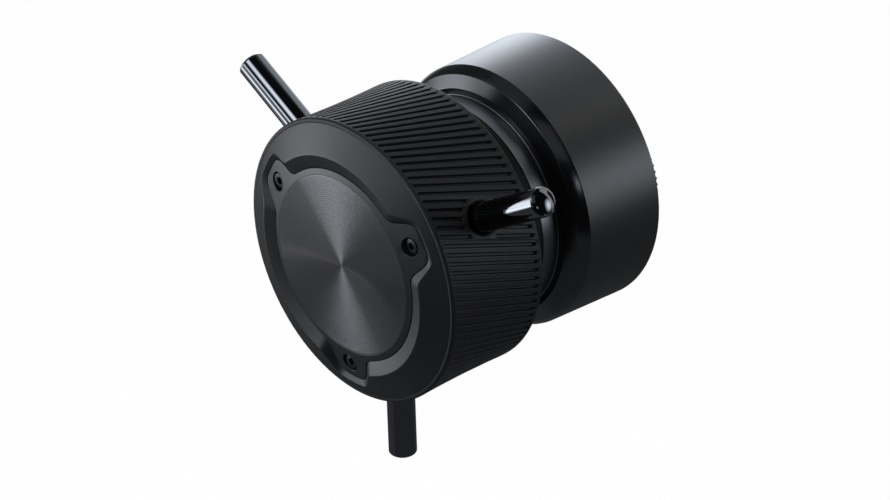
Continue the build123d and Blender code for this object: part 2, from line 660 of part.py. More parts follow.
def face_parts():
    """Three-lobed plate, spun disc and the screws."""
    far = PLATE_TIP + OVERRUN
    plate = turned(
        (0, DISC_Y),
        (DISC_RADIUS, DISC_Y),
        (far, DISC_Y + PLATE_SLOPE * (far - DISC_RADIUS)),
        (far, FLOOR_Y),
        (0, FLOOR_Y),
    )
    plate &= plate_prism()
    plate -= drum(DISC_RADIUS, DISC_Y - OVERRUN, DISC_Y + DISC_THICKNESS)
    plate = drilled(plate, FACE_SCREW, face_places(), FACE_SEAT_Y, -1, COUNTERBORE_GAP)
    return {
        "face_plate": plate,
        "face_disc": drum(DISC_RADIUS - DISC_GAP, DISC_Y, DISC_Y + DISC_THICKNESS),
        "face_screws": screw_set(FACE_SCREW, face_places(), FACE_SEAT_Y, -1),
    }


def spoke_hole(angle):
    """Round hole for a spoke in the grip and the core, with its thread."""
    plane = radial_plane(angle, SPOKE_Y)
    bevel_start = KNOB_RADIUS - SPOKE_HOLE_BEVEL
    seat = Pos(0, 0, SPOKE_SEAT) * Cylinder(SPOKE_HOLE, KNOB_RADIUS, align=ON_BASE)
    bevel_top = SPOKE_HOLE + SPOKE_HOLE_BEVEL + OVERRUN
    bevel = Pos(0, 0, bevel_start) * Cone(SPOKE_HOLE, bevel_top, SPOKE_HOLE_BEVEL + OVERRUN, align=ON_BASE)
    thread_length = SHANK_LENGTH + TIP_ROOM
    thread = Pos(0, 0, SPOKE_SEAT - thread_length)
    thread *= Cylinder(SHANK_RADIUS + SEAT_GAP, thread_length + OVERRUN, align=ON_BASE)
    return plane * (seat + bevel + thread)


def spoke_parts():
    """Three rods with a domed tip and a threaded shank."""
    shank_start = SPOKE_SEAT - SHANK_LENGTH
    rod_end = SPOKE_REACH - SPOKE_DOME
    dome_radius = (SPOKE_RADIUS**2 + SPOKE_DOME**2) / (2 * SPOKE_DOME)
    sides = Polyline(
        (0, SPOKE_REACH),
        (0, shank_start),
        (SHANK_RADIUS, shank_start),
        (SHANK_RADIUS, SPOKE_SEAT),
        (SPOKE_RADIUS, SPOKE_SEAT),
        (SPOKE_RADIUS, rod_end),
    )
    dome = RadiusArc((SPOKE_RADIUS, rod_end), (0, SPOKE_REACH), -dome_radius)
    profile = make_face([*sides.edges(), *dome.edges()])
    rod = revolve(Plane.XZ * profile, Axis.Z)
    parts = {}
    for name, angle in SPOKE_ANGLES.items():
        parts["spoke_" + name] = radial_plane(angle + KNOB_TURN, SPOKE_Y) * rod
    return parts


def core_parts():
    """Knob core with the face ring, and the collar with its screws."""
    core = turned(
        (0, RIM_Y),
        (RIM_RADIUS, RIM_Y),
        (FACE_EDGE_RADIUS, GRIP_FRONT_Y),
        (FACE_EDGE_RADIUS, GRIP_FRONT_Y + FACE_EDGE_THICKNESS),
        (CORE_RADIUS, GRIP_FRONT_Y + FACE_EDGE_THICKNESS),
        (CORE_RADIUS, CORE_REAR_Y),
        (CORE_BORE, CORE_REAR_Y),
        (CORE_BORE, WEB_REAR_Y),
        (0, WEB_REAR_Y),
    )
    core -= loft([pocket_section(PLATE_TIP_Y), pocket_section(RIM_Y - OVERRUN)], ruled=True)
    core -= plate_prism(SEAT_GAP)
    core -= drum(BEARING_BORE_RADIUS + SEAT_GAP, FLOOR_Y - OVERRUN, WEB_REAR_Y + OVERRUN)
    core = drilled(core, FACE_SCREW, face_places(), FACE_SEAT_Y, -1, COUNTERBORE_GAP)
    core = drilled(core, HUB_SCREW, ring_places(HUB_SCREWS, HUB_SCREW_CIRCLE, KNOB_TURN), HUB_SEAT_Y, -1)
    for angle in SPOKE_ANGLES.values():
        core -= spoke_hole(angle + KNOB_TURN)
    flange_rear = CORE_REAR_Y + COLLAR_FLANGE
    collar = turned(
        (COLLAR_RADIUS - COLLAR_WALL, CORE_REAR_Y - COLLAR_SPIGOT),
        (CORE_BORE - SEAT_GAP, CORE_REAR_Y - COLLAR_SPIGOT),
        (CORE_BORE - SEAT_GAP, CORE_REAR_Y),
        (COLLAR_FLANGE_RADIUS, CORE_REAR_Y),
        (COLLAR_FLANGE_RADIUS, flange_rear),
        (COLLAR_RADIUS, flange_rear),
        (COLLAR_RADIUS, COLLAR_REAR_Y),
        (TUBE_RADIUS + TUBE_ROOM, COLLAR_REAR_Y),
        (TUBE_RADIUS + TUBE_ROOM, COLLAR_REAR_Y - COLLAR_END),
        (COLLAR_RADIUS - COLLAR_WALL, COLLAR_REAR_Y - COLLAR_END),
    )
    places = ring_places(COLLAR_SCREWS, COLLAR_SCREW_CIRCLE, KNOB_TURN)
    seat = flange_rear - COLLAR_SCREW.head_height
    return {
        "knob_core": drilled(core, COLLAR_SCREW, places, seat, 1),
        "knob_collar": drilled(collar, COLLAR_SCREW, places, seat, 1),
        "collar_screws": screw_set(COLLAR_SCREW, places, seat, 1),
    }


def groove_spans(angle):
    """Start and end of the pieces of a groove, along it from the spokes' station, cut short round a spoke."""
    slant = radians(GROOVE_SLANT)
    front = (GRIP_FRONT_Y + GROOVE_FRONT - SPOKE_Y) / cos(slant)
    rear = (GRIP_REAR_Y - GROOVE_REAR - SPOKE_Y) / cos(slant)
    keep_out = SPOKE_HOLE + SPOKE_HOLE_BEVEL + GROOVE_MARGIN
    for spoke in SPOKE_ANGLES.values():
        away = radians((angle - spoke - KNOB_TURN + 180.0) % 360.0 - 180.0) * KNOB_RADIUS
        if abs(away) * cos(slant) < keep_out:
            middle = away * sin(slant)
            reach = (keep_out**2 - (away * cos(slant)) ** 2) ** 0.5
            return [(front, middle - reach), (middle + reach, rear)]
    return [(front, rear)]


def groove_plane(angle, middle):
    """Plane along a groove at a distance along it from the spokes' station."""
    slant = radians(GROOVE_SLANT)
    turn = angle - degrees(middle * sin(slant) / KNOB_RADIUS)
    return radial_plane(turn, SPOKE_Y + middle * cos(slant)) * Rot(0, 0, -GROOVE_SLANT)


def grip_parts():
    """Rubber sleeve with its grooves and the spoke holes."""
    grip = turned(
        (CORE_RADIUS, GRIP_FRONT_Y + FACE_EDGE_THICKNESS),
        (FACE_EDGE_RADIUS, GRIP_FRONT_Y + FACE_EDGE_THICKNESS),
        (FACE_EDGE_RADIUS, GRIP_FRONT_Y),
        (KNOB_RADIUS, GRIP_FRONT_Y),
        (KNOB_RADIUS, GRIP_REAR_Y),
        (CORE_RADIUS, GRIP_REAR_Y),
    )
    grip = fillet(widest_edges(grip)[0], GRIP_FRONT_ROUND)
    grip = fillet(widest_edges(grip)[-1], GRIP_REAR_ROUND)
    pitch = 360.0 / GROOVES
    cuts = []
    for index in range(GROOVES):
        angle = LOBE_ANGLE + KNOB_TURN + pitch * (index + GROOVE_PHASE_SHARE)
        for start, end in groove_spans(angle):
            if end - start > GROOVE_LEAST:
                slot = extrude(SlotOverall(end - start, GROOVE_WIDTH), GROOVE_DEPTH + OVERRUN)
                plane = groove_plane(angle, (start + end) / 2)
                cuts.append(plane * Pos(0, 0, KNOB_RADIUS - GROOVE_DEPTH) * slot)
    cuts += [spoke_hole(angle + KNOB_TURN) for angle in SPOKE_ANGLES.values()]
    return {"grip_sleeve": grip.cut(*cuts)}


def post_places():
    """Places of the board's posts."""
    return [ring_places(1, POST_CIRCLE, angle)[0] for angle in POST_ANGLES]


def board_parts():
    """Circuit board, its screws, the two chips and the small parts."""
    board = drum(BOARD_RADIUS, BOARD_FRONT_Y, BOARD_REAR_Y)
    board = drilled(board, BOARD_SCREW, post_places(), BOARD_FRONT_Y, -1)
    encoder = block(ENCODER_SIZE, ENCODER_SIZE, ENCODER_Y, BOARD_FRONT_Y, AXIS_X, 0)
    controller_front = BOARD_FRONT_Y - CONTROLLER_THICKNESS
    controller_x = AXIS_X + CONTROLLER_PLACE
    controller = block(CONTROLLER_SIZE, CONTROLLER_SIZE, controller_front, BOARD_FRONT_Y, controller_x, 0)
    capacitors = []
    for index in range(CAPACITORS_A_ROW):
        x = AXIS_X + CAPACITOR_PITCH * (index - (CAPACITORS_A_ROW - 1) / 2)
        for z in (CAPACITOR_ROW, -CAPACITOR_ROW):
            front = BOARD_FRONT_Y - CAPACITOR_WIDTH
            capacitors.append(block(CAPACITOR_WIDTH, CAPACITOR_LENGTH, front, BOARD_FRONT_Y, x, z).solid())
    return {
        "circuit_board": board,
        "board_screws": screw_set(BOARD_SCREW, post_places(), BOARD_FRONT_Y, -1),
        "encoder_chip": encoder,
        "controller_chip": controller,
        "board_capacitors": Compound(capacitors),
    }


def all_parts():
    """Every node of the object by name."""
    parts = {}
    parts.update(rosette_parts())
    parts.update(cover_parts())
    parts.update(shell_parts())
    parts.update(carrier_parts())
    parts.update(bearing_parts("front_bearing", FRONT_RACE_Y))
    parts.update(bearing_parts("rear_bearing", REAR_RACE_Y))
    parts.update(board_parts())
    parts.update(usb_parts())
    parts.update(shaft_parts())
    parts.update(core_parts())
    parts.update(face_parts())
    parts.update(spoke_parts())
    parts.update(grip_parts())
    return parts


os.makedirs("parts", exist_ok=True)
for node, shape in all_parts().items():
    export_step(shape, f"parts/{node}.step")
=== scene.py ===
"""Looks of a focus demand: a gripped knob with three spokes on a round housing with a rear rosette.

Lengths are in millimetres until a mesh is written, in metres, in the frame's own axes:
+Y out of the rear, +Z up, and +X to the right as seen from the front.
"""
import json
import logging
import math
from dataclasses import dataclass
from enum import Enum
from typing import Callable
from typing import Iterable
from typing import Sequence

import bmesh
import bpy
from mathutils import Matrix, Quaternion
from mathutils import Vector
from mathutils.geometry import delaunay_2d_cdt


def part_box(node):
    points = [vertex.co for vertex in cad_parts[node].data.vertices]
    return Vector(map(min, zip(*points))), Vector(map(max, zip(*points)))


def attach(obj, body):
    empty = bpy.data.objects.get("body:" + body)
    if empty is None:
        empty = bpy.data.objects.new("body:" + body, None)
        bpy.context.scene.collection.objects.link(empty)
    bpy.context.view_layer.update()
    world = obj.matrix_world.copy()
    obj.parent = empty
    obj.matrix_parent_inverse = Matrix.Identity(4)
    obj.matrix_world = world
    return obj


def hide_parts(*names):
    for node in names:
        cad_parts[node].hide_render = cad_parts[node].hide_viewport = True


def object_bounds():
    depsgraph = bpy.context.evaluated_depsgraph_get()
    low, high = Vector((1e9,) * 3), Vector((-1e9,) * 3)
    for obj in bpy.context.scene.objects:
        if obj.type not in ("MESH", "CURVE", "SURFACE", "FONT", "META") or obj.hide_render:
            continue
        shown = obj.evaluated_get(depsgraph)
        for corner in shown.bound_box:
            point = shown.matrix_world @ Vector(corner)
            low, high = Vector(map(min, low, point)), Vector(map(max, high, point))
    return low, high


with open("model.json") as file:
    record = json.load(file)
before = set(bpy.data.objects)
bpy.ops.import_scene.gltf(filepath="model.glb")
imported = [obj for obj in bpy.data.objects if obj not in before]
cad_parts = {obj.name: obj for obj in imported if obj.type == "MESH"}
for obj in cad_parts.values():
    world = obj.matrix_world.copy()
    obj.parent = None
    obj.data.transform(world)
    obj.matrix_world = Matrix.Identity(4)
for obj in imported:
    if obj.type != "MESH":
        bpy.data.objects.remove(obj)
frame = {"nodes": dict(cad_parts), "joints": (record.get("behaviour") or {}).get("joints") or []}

LOG = logging.getLogger("focus_demand")
CAD_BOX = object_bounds()
MM = 0.001
FULL_TURN = math.tau
STEPS_ROUND = 256  # points round a turned piece
HOLE_STEPS = 64  # points round a screw hole
SMALL_HOLE_STEPS = 32  # and round a hole that is hardly seen
ARC_STEPS = 4  # segments in a rounded edge
WELD = 1e-6  # metres, points closer than this are one
SHARP_ANGLE = math.radians(38.0)

Corner = tuple[float, float, float]  # radius, height and rounding
Flat = tuple[float, float]
Piece = bpy.types.Object
Tree = bpy.types.NodeTree
Socket = bpy.types.NodeSocket


class Body(Enum):
    """The bodies of the frame that new pieces ride on."""

    BASE = "base"
    KNOB = "knob"


def span(node: str) -> tuple[float, float]:
    """Front and rear stations of a node.

    Args:
        node: Name of the CAD node.

    Returns:
        Lowest and highest y in millimetres.
    """
    low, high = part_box(node)
    return low.y / MM, high.y / MM


def joint_place(name: str) -> Vector:
    """Place of a joint's axis in millimetres."""
    joint = next(item for item in frame["joints"] if item["name"] == name)
    return Vector(joint["pos_m"]) / MM


KNOB_X = joint_place("knob_turn").x
SPOKES = ("spoke_right", "spoke_left", "spoke_lower")
LOBES = len(SPOKES)  # the face has one lobe and one screw for each spoke


def spoke_angle(node: str) -> float:
    """Angle of a spoke round the knob axis, from +X towards +Z, in radians."""
    low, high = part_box(node)
    middle = (low + high) / 2 / MM
    return math.atan2(middle.z, middle.x - KNOB_X)


@dataclass(frozen=True)
class Axis:
    """An axis with two directions across it, on which turned pieces are laid out."""

    origin: Vector
    out: Vector
    across: Vector
    along: Vector

    def at(self, radius: float, angle: float, height: float) -> Vector:
        """Point at a radius, an angle and a height along the axis."""
        turn = self.out * math.cos(angle) + self.across * math.sin(angle)
        return self.origin + turn * radius + self.along * height

    def circle(self, radius: float, height: float, steps: int = STEPS_ROUND) -> list[Vector]:
        """Points of a circle round the axis."""
        return [self.at(radius, FULL_TURN * step / steps, height) for step in range(steps)]

    def polar(self, shape: Callable[[float], float], height: float, steps: int) -> list[Vector]:
        """Points of a closed outline given as radius by angle."""
        angles = [FULL_TURN * step / steps for step in range(steps)]
        return [self.at(shape(angle), angle, height) for angle in angles]


def axis_along_y(x: float = 0.0, z: float = 0.0) -> Axis:
    """An axis parallel to Y through a place."""
    return Axis(Vector((x, 0, z)), Vector((1, 0, 0)), Vector((0, 0, 1)), Vector((0, 1, 0)))


KNOB_AXIS = axis_along_y(KNOB_X)
ROSETTE_AXIS = axis_along_y()
CENTRED_AXIS = axis_along_y()  # for shapes that are set round an axis later


def soften(corners: Sequence[Corner], steps: int = ARC_STEPS) -> list[Flat]:
    """Rounds the corners of a closed outline.

    Args:
        corners: Radius, height and rounding of each corner.
        steps: Segments in each rounding.

    Returns:
        Radius and height of every point.
    """
    points: list[Flat] = []
    for index, (radius, height, rounding) in enumerate(corners):
        here = Vector((radius, height))
        if rounding == 0:
            points.append((radius, height))
            continue
        back = (Vector(corners[index - 1][:2]) - here).normalized()
        ahead = (Vector(corners[(index + 1) % len(corners)][:2]) - here).normalized()
        half = back.angle(ahead) / 2
        middle = here + (back + ahead).normalized() * (rounding / math.sin(half))
        start = here + back * (rounding / math.tan(half)) - middle
        end = here + ahead * (rounding / math.tan(half)) - middle
        for step in range(steps + 1):
            point = middle + start.lerp(end, step / steps).normalized() * rounding
            points.append((point.x, point.y))
    return points


def is_inside(place: Flat, loops: Sequence[Sequence[Flat]]) -> bool:
    """Whether a place lies inside an odd number of loops."""
    x, y = place
    odd = False
    for loop in loops:
        for (x0, y0), (x1, y1) in zip(loop, [*loop[1:], loop[0]]):
            if (y0 > y) != (y1 > y) and x < (x1 - x0) * (y - y0) / (y1 - y0) + x0:
                odd = not odd
    return odd


def new_piece(name: str, points: Sequence[Vector], faces: Sequence[Sequence[int]]) -> Piece:
    """A mesh object at the origin, linked to the scene, from points in metres."""
    mesh = bpy.data.meshes.new(name)
    mesh.from_pydata(points, [], faces)
    made = bpy.data.objects.new(name, mesh)
    bpy.context.scene.collection.objects.link(made)
    return made


class Shape:
    """Points and faces of a piece while it is put together."""

    def __init__(self) -> None:
        """Starts with nothing."""
        self.points: list[Vector] = []
        self.faces: list[list[int]] = []

    def ring(self, points: Iterable[Vector]) -> list[int]:
        """Adds points and returns their numbers."""
        start = len(self.points)
        self.points.extend(points)
        return list(range(start, len(self.points)))

    def skin(self, rings: Sequence[list[int]], loop: bool = False) -> None:
        """Joins closed rings of equal count with a wall.

        Args:
            rings: Point numbers of each ring.
            loop: Whether the last ring is joined to the first.
        """
        following = [*rings[1:], rings[0]] if loop else rings[1:]
        for near, far in zip(rings, following):
            for index in range(len(near)):
                after = (index + 1) % len(near)
                self.faces.append([near[index], near[after], far[after], far[index]])

    def cap(self, ring: list[int]) -> None:
        """Closes a ring with a fan about its middle."""
        middle = sum((self.points[index] for index in ring), Vector()) / len(ring)
        hub = self.ring([middle])[0]
        for index, near in enumerate(ring):
            self.faces.append([near, ring[(index + 1) % len(ring)], hub])

    def solid(self, rings: Sequence[list[int]]) -> None:
        """Joins rings with a wall and closes the first and the last."""
        self.skin(rings)
        self.cap(rings[0])
        self.cap(rings[-1])

    def fill(self, loops: Sequence[list[int]]) -> None:
        """Fills the flat space between rings, seen along Y; a ring inside another is a hole."""
        flats = [[(self.points[index].x, self.points[index].z) for index in loop] for loop in loops]
        sheet = Sheet()
        for loop, flat in zip(loops, flats):
            sheet.line(loop, flat, closed=True)
        self.faces.extend(sheet.triangles(lambda place: is_inside(place, flats)))

    def build(self, name: str, finish: "Finish | None" = None) -> Piece:
        """Makes a mesh object at the origin.

        Args:
            name: Name of the object and of its mesh.
            finish: The finish that it gets.

        Returns:
            The object, linked to the scene.
        """
        made = new_piece(name, [point * MM for point in self.points], self.faces)
        if finish is not None:
            made.data.materials.append(finish.material())
            tidy_mesh(made)
        return made


class Sheet:
    """A flat pattern of lines that is cut into triangles."""

    def __init__(self) -> None:
        """Starts with nothing."""
        self.numbers: list[int] = []
        self.flat: list[Vector] = []
        self.edges: list[tuple[int, int]] = []

    def line(self, numbers: Sequence[int], flat: Sequence[Flat], closed: bool = False) -> None:
        """Adds a line of points that the triangles keep to.

        Args:
            numbers: Numbers of the points in their shape.
            flat: Their places in the pattern.
            closed: Whether the last point is joined to the first.
        """
        start = len(self.flat)
        self.numbers.extend(numbers)
        self.flat.extend(Vector(place) for place in flat)
        self.edges.extend((start + index, start + index + 1) for index in range(len(numbers) - 1))
        if closed:
            self.edges.append((start + len(numbers) - 1, start))

    def triangles(self, keep: Callable[[Flat], bool]) -> list[list[int]]:
        """Cuts the pattern up.

        Args:
            keep: Whether a triangle with this middle stays.

        Returns:
            Point numbers of each triangle.
        """
        flat, _, faces, origins, _, _ = delaunay_2d_cdt(self.flat, self.edges, [], 0, WELD)
        kept = []
        for face in faces:
            middle = sum((flat[corner] for corner in face), Vector((0, 0))) / len(face)
            if keep((middle.x, middle.y)):
                kept.append([self.numbers[origins[corner][0]] for corner in face])
        return kept


def turned(axis: Axis, corners: Sequence[Corner], steps: int = STEPS_ROUND) -> Shape:
    """A ring turned from a closed outline that stays clear of the axis.

    Args:
        axis: The axis that it is turned about.
        corners: Radius, height and rounding of each corner.
        steps: Points round it.

    Returns:
        The closed shape.
    """
    shape = Shape()
    rings = [shape.ring(axis.circle(radius, height, steps)) for radius, height in soften(corners)]
    shape.skin(rings, loop=True)
    return shape


def turned_solid(axis: Axis, profile: Sequence[Flat], steps: int = STEPS_ROUND) -> Shape:
    """A solid turned from an open outline whose two ends are closed across the axis."""
    shape = Shape()
    rings = [shape.ring(axis.circle(radius, height, steps)) for radius, height in profile]
    shape.solid(rings)
    return shape


def tidy_mesh(piece: Piece) -> None:
    """Welds a closed mesh, turns its faces outwards and sets its shading."""
    work = bmesh.new()
    work.from_mesh(piece.data)
    bmesh.ops.remove_doubles(work, verts=work.verts, dist=WELD)
    bmesh.ops.delete(work, geom=[vert for vert in work.verts if not vert.link_faces], context="VERTS")
    bmesh.ops.recalc_face_normals(work, faces=work.faces)
    work.to_mesh(piece.data)
    work.free()
    piece.data.shade_smooth()
    piece.data.set_sharp_from_angle(angle=SHARP_ANGLE)
    weighting = piece.modifiers.new("even_shading", "WEIGHTED_NORMAL")
    weighting.mode = "FACE_AREA"
    weighting.keep_sharp = True


def add_node(tree: Tree, kind: str, links: dict | None = None, **settings: object) -> bpy.types.Node:
    """Adds a node with its settings, constants and links.

    Args:
        tree: The tree that gets the node.
        kind: Blender's name for the node.
        links: Sockets to feed, by name or number: another socket or a constant.
        settings: Properties of the node.

    Returns:
        The node.
    """
    node = tree.nodes.new(kind)
    for name, value in settings.items():
        setattr(node, name, value)
    for socket, value in (links or {}).items():
        if isinstance(value, Socket):
            tree.links.new(value, node.inputs[socket])
        else:
            node.inputs[socket].default_value = value
    return node


def empty_tree(owner: bpy.types.ID) -> Tree:
    """The node tree of a material, a lamp or a world, with nothing in it."""
    owner.use_nodes = True
    owner.node_tree.nodes.clear()
    return owner.node_tree


def linear(colour: str) -> tuple[float, float, float, float]:
    """Linear RGBA of an sRGB hex colour."""
    parts = [int(colour[start : start + 2], 16) / 255 for start in (1, 3, 5)]
    return (*[p / 12.92 if p <= 0.04045 else ((p + 0.055) / 1.055) ** 2.4 for p in parts], 1.0)


def per_metre(size: float) -> float:
    """Texture scale of a pattern whose grain is a size in millimetres."""
    return 1 / (size * MM)


@dataclass(frozen=True)
class Finish:
    """A surface as it was made: its tone, its gloss and its grain.

    The tone wanders a little between two colours, and a fine grain lifts the surface and its roughness.
    """

    name: str
    colour: str
    second: str
    roughness: float
    metallic: float = 0.0
    specular: float = 0.5
    grain: float = 0.25  # mm, coarser than the real grit so that it shows
    grain_height: float = 0.002  # mm
    roughness_spread: float = 0.04
    cloud: float = 14.0  # mm, size of the slow change in tone
    coat: float = 0.0
    sheen: float = 0.0
    slot: str = ""
    grain_detail: float = 2.0  # octaves of noise
    cloud_detail: float = 3.0

    def material(self) -> bpy.types.Material:
        """The finish's material, made once."""
        made = bpy.data.materials.get(self.name)
        if made is None:
            made = bpy.data.materials.new(self.name)
            tree = empty_tree(made)
            shader = add_node(tree, "ShaderNodeBsdfPrincipled")
            place = add_node(tree, "ShaderNodeTexCoord").outputs["Object"]
            self.dress(tree, shader, place)
            add_node(tree, "ShaderNodeOutputMaterial", {"Surface": shader.outputs["BSDF"]})
        return made

    def dress(self, tree: Tree, shader: bpy.types.Node, place: Socket) -> None:
        """Sets the shader's constants and links its tone, roughness and grain.

        Args:
            tree: The material's tree.
            shader: The principled shader.
            place: Object coordinates.
        """
        shader.inputs["Metallic"].default_value = self.metallic
        shader.inputs["Specular IOR Level"].default_value = self.specular
        shader.inputs["Coat Weight"].default_value = self.coat
        shader.inputs["Sheen Weight"].default_value = self.sheen
        grain = add_node(
            tree, "ShaderNodeTexNoise",
            {"Vector": place, "Scale": per_metre(self.grain), "Detail": self.grain_detail},
        )
        tone = add_node(
            tree,
            "ShaderNodeMix",
            {"Factor": self.wander(tree, place), "A": linear(self.colour), "B": linear(self.second)},
            data_type="RGBA",
        )
        gloss = add_node(
            tree,
            "ShaderNodeMapRange",
            {
                "Value": grain.outputs["Fac"],
                "To Min": self.roughness - self.roughness_spread,
                "To Max": self.roughness + self.roughness_spread,
            },
        )
        lift = add_node(
            tree,
            "ShaderNodeBump",
            {"Height": self.relief(tree, grain.outputs["Fac"], place), "Distance": self.grain_height * MM},
        )
        tree.links.new(tone.outputs["Result"], shader.inputs["Base Color"])
        tree.links.new(gloss.outputs["Result"], shader.inputs["Roughness"])
        tree.links.new(lift.outputs["Normal"], shader.inputs["Normal"])

    def wander(self, tree: Tree, place: Socket) -> Socket:
        """Share of the second colour, which changes slowly over the surface."""
        links = {"Vector": place, "Scale": per_metre(self.cloud), "Detail": self.cloud_detail}
        return add_node(tree, "ShaderNodeTexNoise", links).outputs["Fac"]

    def relief(self, tree: Tree, grain: Socket, place: Socket) -> Socket:
        """Height of the surface, which is the grain alone unless a finish adds to it."""
        return grain


@dataclass(frozen=True)
class SpunFinish(Finish):
    """Metal faced off on a lathe: fine rings about the knob axis that draw light into fans."""

    pitch: float = 0.22  # mm between rings, wider than the tool's real feed so that they show
    stretch: float = 1.0

    def dress(self, tree: Tree, shader: bpy.types.Node, place: Socket) -> None:
        """Adds the direction across the rings, in which light spreads, to the plain finish."""
        super().dress(tree, shader, place)
        shader.inputs["Anisotropic"].default_value = self.stretch
        across = add_node(
            tree, "ShaderNodeVectorTransform", {"Vector": self.outward(tree, place)},
            vector_type="VECTOR", convert_from="OBJECT", convert_to="WORLD",
        )
        tree.links.new(across.outputs["Vector"], shader.inputs["Tangent"])

    def outward(self, tree: Tree, place: Socket) -> Socket:
        """Vector from the knob axis, square to it."""
        centred = add_node(tree, "ShaderNodeMapping", {"Vector": place, "Location": (-KNOB_X * MM, 0, 0)})
        split = add_node(tree, "ShaderNodeSeparateXYZ", {"Vector": centred.outputs["Vector"]})
        flat = add_node(tree, "ShaderNodeCombineXYZ", {"X": split.outputs["X"], "Z": split.outputs["Z"]})
        return flat.outputs["Vector"]

    def far(self, tree: Tree, place: Socket) -> Socket:
        """Distance from the knob axis."""
        links = {0: self.outward(tree, place)}
        return add_node(tree, "ShaderNodeVectorMath", links, operation="LENGTH").outputs["Value"]

    def rings(self, tree: Tree, place: Socket, pitch: float) -> Socket:
        """A wave between -1 and 1 that runs outward from the knob axis."""
        links = {0: self.far(tree, place), 1: FULL_TURN * per_metre(pitch)}
        turns = add_node(tree, "ShaderNodeMath", links, operation="MULTIPLY")
        wave = add_node(tree, "ShaderNodeMath", {0: turns.outputs["Value"]}, operation="SINE")
        return wave.outputs["Value"]

    def wander(self, tree: Tree, place: Socket) -> Socket:
        """Share of the second colour, which changes from ring to ring."""
        links = {"Value": self.rings(tree, place, self.cloud), "From Min": -1.0}
        return add_node(tree, "ShaderNodeMapRange", links).outputs["Result"]

    def relief(self, tree: Tree, grain: Socket, place: Socket) -> Socket:
        """Rings at the pitch of the tool's feed, wider than real ones so that they show."""
        return self.rings(tree, place, self.pitch)


# Blasted aluminium, anodised black: near black, with broad soft light along the wall.
SATIN_HOUSING = Finish(
    "satin_black_anodised_housing", "#060607", "#09090a", 0.40, specular=0.95, grain=0.3,
    grain_height=0.005, slot="anodised_black",
)
# Fine turning under the same anodising: dark cones with clear bands of light.
FINE_TURNED = Finish(
    "fine_turned_black_anodised_cone", "#595a5c", "#5e5f61", 0.20, metallic=1.0, grain=0.3,
    grain_height=0.001, slot="anodised_black",
)
# Turned, then lightly blasted: an even grey sheen round the neck.
SATIN_NECK = Finish(
    "satin_black_anodised_neck", "#747577", "#797a7c", 0.36, metallic=1.0, grain=0.3,
    grain_height=0.001, slot="anodised_black",
)
# Black anodised, darker and duller than the housing as painted shade: hardly any gloss, so the band behind
# the grip reads as the dark, shaded gap there.
COLLAR_PAINTED_SHADE = Finish(
    "black_anodised_collar_painted_shade", "#040404", "#060607", 0.60, specular=0.25, grain=0.3,
    grain_height=0.005, slot="anodised_black",
)
# Blasted and anodised charcoal: a soft sheen that fades round the face ring.
SATIN_FACE = Finish(
    "blasted_black_anodised_face", "#0d0e0f", "#111213", 0.44, specular=0.55, grain=0.3,
    grain_height=0.005, slot="anodised_black",
)
# Anodised like the face ring, a shade lighter, with slightly crisper light.
SATIN_PLATE = Finish(
    "blasted_black_anodised_plate", "#111214", "#151618", 0.40, specular=0.55, grain=0.28,
    grain_height=0.008, slot="anodised_black",
)
# Faced on a lathe, then anodised: rays of light fan out across fine rings.
SPUN_DISC = SpunFinish(
    "spun_black_anodised_disc", "#414142", "#535354", 0.14, metallic=0.75, grain=0.3, grain_height=0.005,
    roughness_spread=0.02, cloud=0.55, slot="spun_disc",
)
# Moulded rubber: deep grey lands with a faint grain and no mirror image.
RUBBER = Finish(
    "moulded_matt_rubber", "#0a0b0c", "#0e0f10", 0.55, specular=0.5, grain=0.35, grain_height=0.01,
    slot="rubber",
)
# Polished dark plating: hard black and white reflections along the rods.
BLACK_CHROME = Finish(
    "polished_black_chrome", "#6a6b6d", "#6f7073", 0.07, metallic=1.0, grain=0.6, grain_height=0.0001,
    roughness_spread=0.01, slot="black_chrome",
)
# Oxidised steel: small dull black heads with a slight metal glint.
BLACK_OXIDE = Finish(
    "black_oxide_steel", "#0c0c0d", "#111112", 0.36, metallic=0.4, grain=0.1, slot="black_screw"
)
# Ground steel: bright grey with fairly sharp light.
GROUND_STEEL = Finish("ground_bearing_steel", "#b4b5b8", "#bebfc2", 0.24, metallic=1.0, slot="steel")
# Pressed sheet brass: warm yellow with soft light.
BRASS = Finish("pressed_brass", "#b58f4f", "#c09a58", 0.32, metallic=1.0, slot="brass")
# Pressed wool: dull and fuzzy, with no highlight.
FELT = Finish("wool_felt", "#0e0e0e", "#181818", 0.95, sheen=0.3, grain=0.4, grain_height=0.1, slot="felt")
# Green lacquer on a board: smooth, with a thin clear gloss.
SOLDER_MASK = Finish("green_solder_mask", "#0c3a22", "#0e4226", 0.35, coat=0.3, slot="board")
# Moulded chip bodies: dull dark grey with a fine grain.
EPOXY = Finish("moulded_epoxy", "#151516", "#1a1a1b", 0.6, grain=0.15, grain_height=0.006, slot="chip")
# Fired ceramic: dry tan.
CERAMIC = Finish("fired_ceramic", "#8f785c", "#9b8467", 0.5, slot="ceramic")
# Moulded nylon: plain black, half gloss.
SOCKET_PLASTIC = Finish("moulded_black_nylon", "#0f0f10", "#141415", 0.5, slot="socket_black")
# Nickel plate: bright, slightly warm metal.
NICKEL = Finish("nickel_plate", "#b9b6ae", "#c2bfb7", 0.2, metallic=1.0, slot="magnet")
# Drawn stainless sheet: grey metal with soft light on its round edges.
SOCKET_STEEL = Finish("drawn_stainless_steel", "#9a9b9d", "#a6a7a9", 0.28, metallic=1.0, slot="steel")
# Thin gold plating: a warm glint on each contact.
GOLD = Finish("gold_flash", "#c39a45", "#cba34f", 0.25, metallic=1.0, slot="brass")


